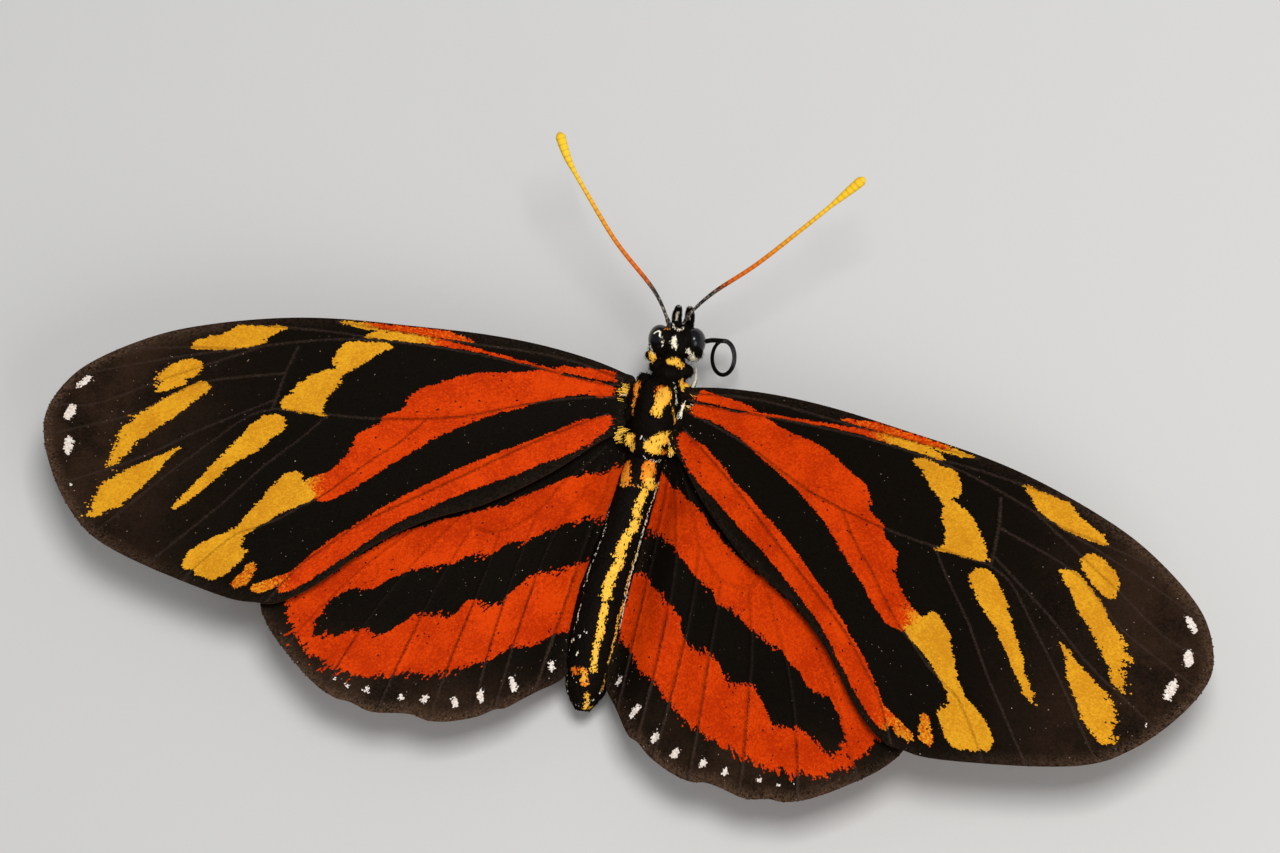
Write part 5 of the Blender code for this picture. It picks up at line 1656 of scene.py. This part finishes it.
turns = np.linspace(0, 1, 90)
wide = LOOP_HALF[0] * np.cos(LOOP_START + LOOP_SWEEP * turns)
deep = LOOP_HALF[1] * np.sin(LOOP_START + LOOP_SWEEP * turns)
loop_x = LOOP_CENTRE[0] + wide * math.cos(LOOP_LEAN) - deep * math.sin(LOOP_LEAN) + LOOP_DRIFT[0] * turns
loop_y = LOOP_CENTRE[1] + wide * math.sin(LOOP_LEAN) + deep * math.cos(LOOP_LEAN) + LOOP_DRIFT[1] * turns
loop = np.stack([loop_x, loop_y, LOOP_TOP - LOOP_SINK * turns], 1)
mouth = smooth_through(MOUTH + [tuple(loop[2])], 12)
line = even(np.vstack([mouth, loop[3:]]), 0.05)
taper = np.linspace(1, END_SHARE, len(line))
beside_line = np.cross(np.gradient(line, axis=0), (0, 0, 1))
beside_line /= np.linalg.norm(beside_line, axis=1)[:, None]
apart = beside_line * FROM_MIDDLE * taper[:, None]
halves = [tube(line + sign * apart, HALF_RADIUS * taper, 14) for sign in (-1, 1)]
tongue = mesh_object("proboscis_tube", *joined(halves))
TONGUE_PAINT = new_material("tongue", None, Base_Color=(0.003, 0.002, 0.0018, 1), Roughness=0.14,
                            Specular_IOR_Level=0.12)
tongue.data.materials.append(TONGUE_PAINT)
place(tongue, "proboscis", "proboscis_base", "proboscis_loop")
print("the tongue is", round(len(line) * 0.05, 1), "mm long")

# %% [markdown]
# ## Legs
# A butterfly of this family walks on four legs and keeps its small forelegs folded. They are thin
# dark tubes with joints, ending in small claws. From above the wings hide them, so plain tubes and
# balls laid over one another are enough.

# %% Legs
LEGS = {
    "foreleg": [(0.80, 2.9, 3.4), (1.15, 3.6, 2.6), (1.30, 4.6, 2.7), (1.25, 5.3, 3.2)],
    "midleg": [(0.90, 1.5, 3.3), (1.40, 1.8, 2.3), (4.50, 2.4, 3.5), (6.90, 2.9, 0.13), (9.30, 3.8, 0.09)],
    "hindleg": [(0.90, -0.7, 3.3), (1.50, -1.4, 2.3), (4.20, -4.8, 3.4), (5.80, -9.2, 0.13),
                (6.60, -12.6, 0.09)],
}
LEGS_MIDDLE = 0.25
# Radii at the joints of a leg with this many of them
JOINT_RADII = {4: (0.22, 0.20, 0.13, 0.06), 5: (0.26, 0.24, 0.17, 0.12, 0.085)}
# How thin a leg is between its joints, how far the thick lengths swell, and the size of a joint
THINNER, BELLY, JOINT_BALL = 0.85, 0.22, 0.9
FOOT_JOINT, CLAW, SPUR = (0.115, 0.115, 0.10), np.linspace(0.045, 0.012, 9), [0.04, 0.01]
# A pale line runs along the upper side of the right foreleg. The other legs have none
FORELEG_LINE, FORELEG_HALF = [(1.40, 3.6, 2.84), (1.56, 4.6, 2.84), (1.52, 5.3, 3.30)], 0.11
NO_LINE = [(0, 0, 99), (0, 0, 98)]


def foot_shapes(ankle, toe):
    """The joints of a foot, its claws and the spurs at its ankle."""
    along = (toe - ankle) / np.linalg.norm(toe - ankle)
    across = np.cross(along, (0, 0, 1))
    shapes = []
    for k in range(5):
        at = ankle + (toe - ankle) * (0.32 + 0.155 * k)
        shapes.append(ball(UPRIGHT, at + (0, 0, 0.02), FOOT_JOINT, 12))
    for sign in (-1, 1):
        claw = [toe, toe + along * 0.16 + across * sign * 0.09 + (0, 0, 0.06),
                toe + along * 0.30 + across * sign * 0.14 + (0, 0, -0.03)]
        shapes.append(tube(smooth_through(claw, 4), CLAW, 8))
        spur = [ankle - along * 0.05, ankle + along * 0.22 + across * sign * 0.14 + (0, 0, 0.02)]
        shapes.append(tube(np.array(spur), SPUR, 8))
    return shapes


def leg_shapes(points):
    """One leg: its thicker and thinner lengths, its joints and, on a walking leg, its foot."""
    radii = JOINT_RADII[len(points)]
    steps = np.linspace(0, 1, 14)[:, None]
    shapes = []
    for (a, ra), (b, rb) in zip(zip(points, radii), zip(points[1:], radii[1:])):
        a, b = np.array(a), np.array(b)
        belly = 1 + BELLY * np.sin(np.linspace(0, math.pi, 14)) * (ra > 0.13)
        start, end = ra * THINNER, rb * THINNER
        shapes.append(tube(a + (b - a) * steps, (start + (end - start) * steps[:, 0]) * belly, 12))
        shapes.append(ball(UPRIGHT, b, (rb * JOINT_BALL,) * 3, 12))
    if len(points) == 5:
        shapes += foot_shapes(np.array(points[3]), np.array(points[4]))
    return shapes


for kind, joints in LEGS.items():
    for word, side in SIDES.items():
        placed = [(LEGS_MIDDLE + side * x, y, z) for x, y, z in joints]
        points, faces = joined(leg_shapes(placed))
        leg = mesh_object(f"{kind}_{word}_scaled", points, faces)
        line = FORELEG_LINE if (kind, word) == ("foreleg", "right") else NO_LINE
        store(leg, pale=stroke_depth(points, FORELEG_HALF, line))
        leg.data.materials.append(DARK_PAINT)
        place(leg, "legs", f"{kind}_{word}")
        print(leg.name, len(faces), "triangles")

# %% [markdown]
# ## Floor, light and camera
# The floor is plain and pale. A soft light hangs above the wings, a little to their right, and a
# larger and weaker one comes from behind on the right, where the camera is. With a dim sky round
# them the blacks stay deep and the scales still show.

# %% Floor
FLOOR_SIZE = 4
bpy.ops.mesh.primitive_plane_add(size=FLOOR_SIZE, location=(0, 0, 0))
floor = bpy.context.object
floor.name = "floor"
paper = new_material("pale_floor", None, Base_Color=(0.60, 0.59, 0.57, 1), Roughness=0.8)
floor.data.materials.append(paper)
print("the floor is", FLOOR_SIZE, "m wide")


# %% Lights
def soft_light(name, direction, size, power):
    """A square soft light, its direction from the butterfly given as a vector in metres."""
    data = bpy.data.lights.new(name, "AREA")
    data.shape, data.size, data.energy = "SQUARE", size, power
    light = bpy.data.objects.new(name, data)
    bpy.context.scene.collection.objects.link(light)
    light.location = direction
    light.rotation_euler = (-Vector(direction)).to_track_quat("-Z", "Y").to_euler()
    return light


soft_light("key", (0.10, 0.05, 0.42), 0.14, 1.35)
soft_light("fill", (0.30, -0.20, 0.26), 0.25, 0.6)
sky = bpy.data.worlds.new("studio")
sky.use_nodes = True
sky.node_tree.nodes["Background"].inputs["Color"].default_value = (0.9, 0.94, 1.0, 1)
sky.node_tree.nodes["Background"].inputs["Strength"].default_value = 0.3
bpy.context.scene.world = sky
bpy.context.scene.view_settings.view_transform = "Standard"

# %% [markdown]
# The camera's place was found from the wings: a mark on the left wing and its mirror image on the
# right one fix the angle it looks from, and the species' known wing length fixes its distance.

# %% Camera
VIEW_YAW, VIEW_PITCH, VIEW_ROLL = (math.radians(angle) for angle in (-14, 14, -12.14))
DISTANCE, FOCAL_PIXELS, IMAGE_WIDTH = 340.0, 5134.0, 1280.0
AIM_X, AIM_Y = 1.4657, -1.7593

turned = (Matrix.Rotation(VIEW_ROLL, 3, "Z") @ Matrix.Rotation(VIEW_YAW, 3, "Y")
          @ Matrix.Rotation(-VIEW_PITCH, 3, "X"))
lens = bpy.data.cameras.new("camera")
lens.sensor_width = 36
lens.lens = lens.sensor_width * FOCAL_PIXELS / IMAGE_WIDTH
lens.clip_start, lens.clip_end = 0.02, 20
camera = bpy.data.objects.new("camera", lens)
bpy.context.scene.collection.objects.link(camera)
spot = turned.transposed() @ Vector((-AIM_X, -AIM_Y, DISTANCE))
camera.matrix_world = Matrix.Translation(Vector(to_world(spot))) @ turned.transposed().to_4x4()
bpy.context.scene.camera = camera
print("camera at", [round(c, 3) for c in camera.location])
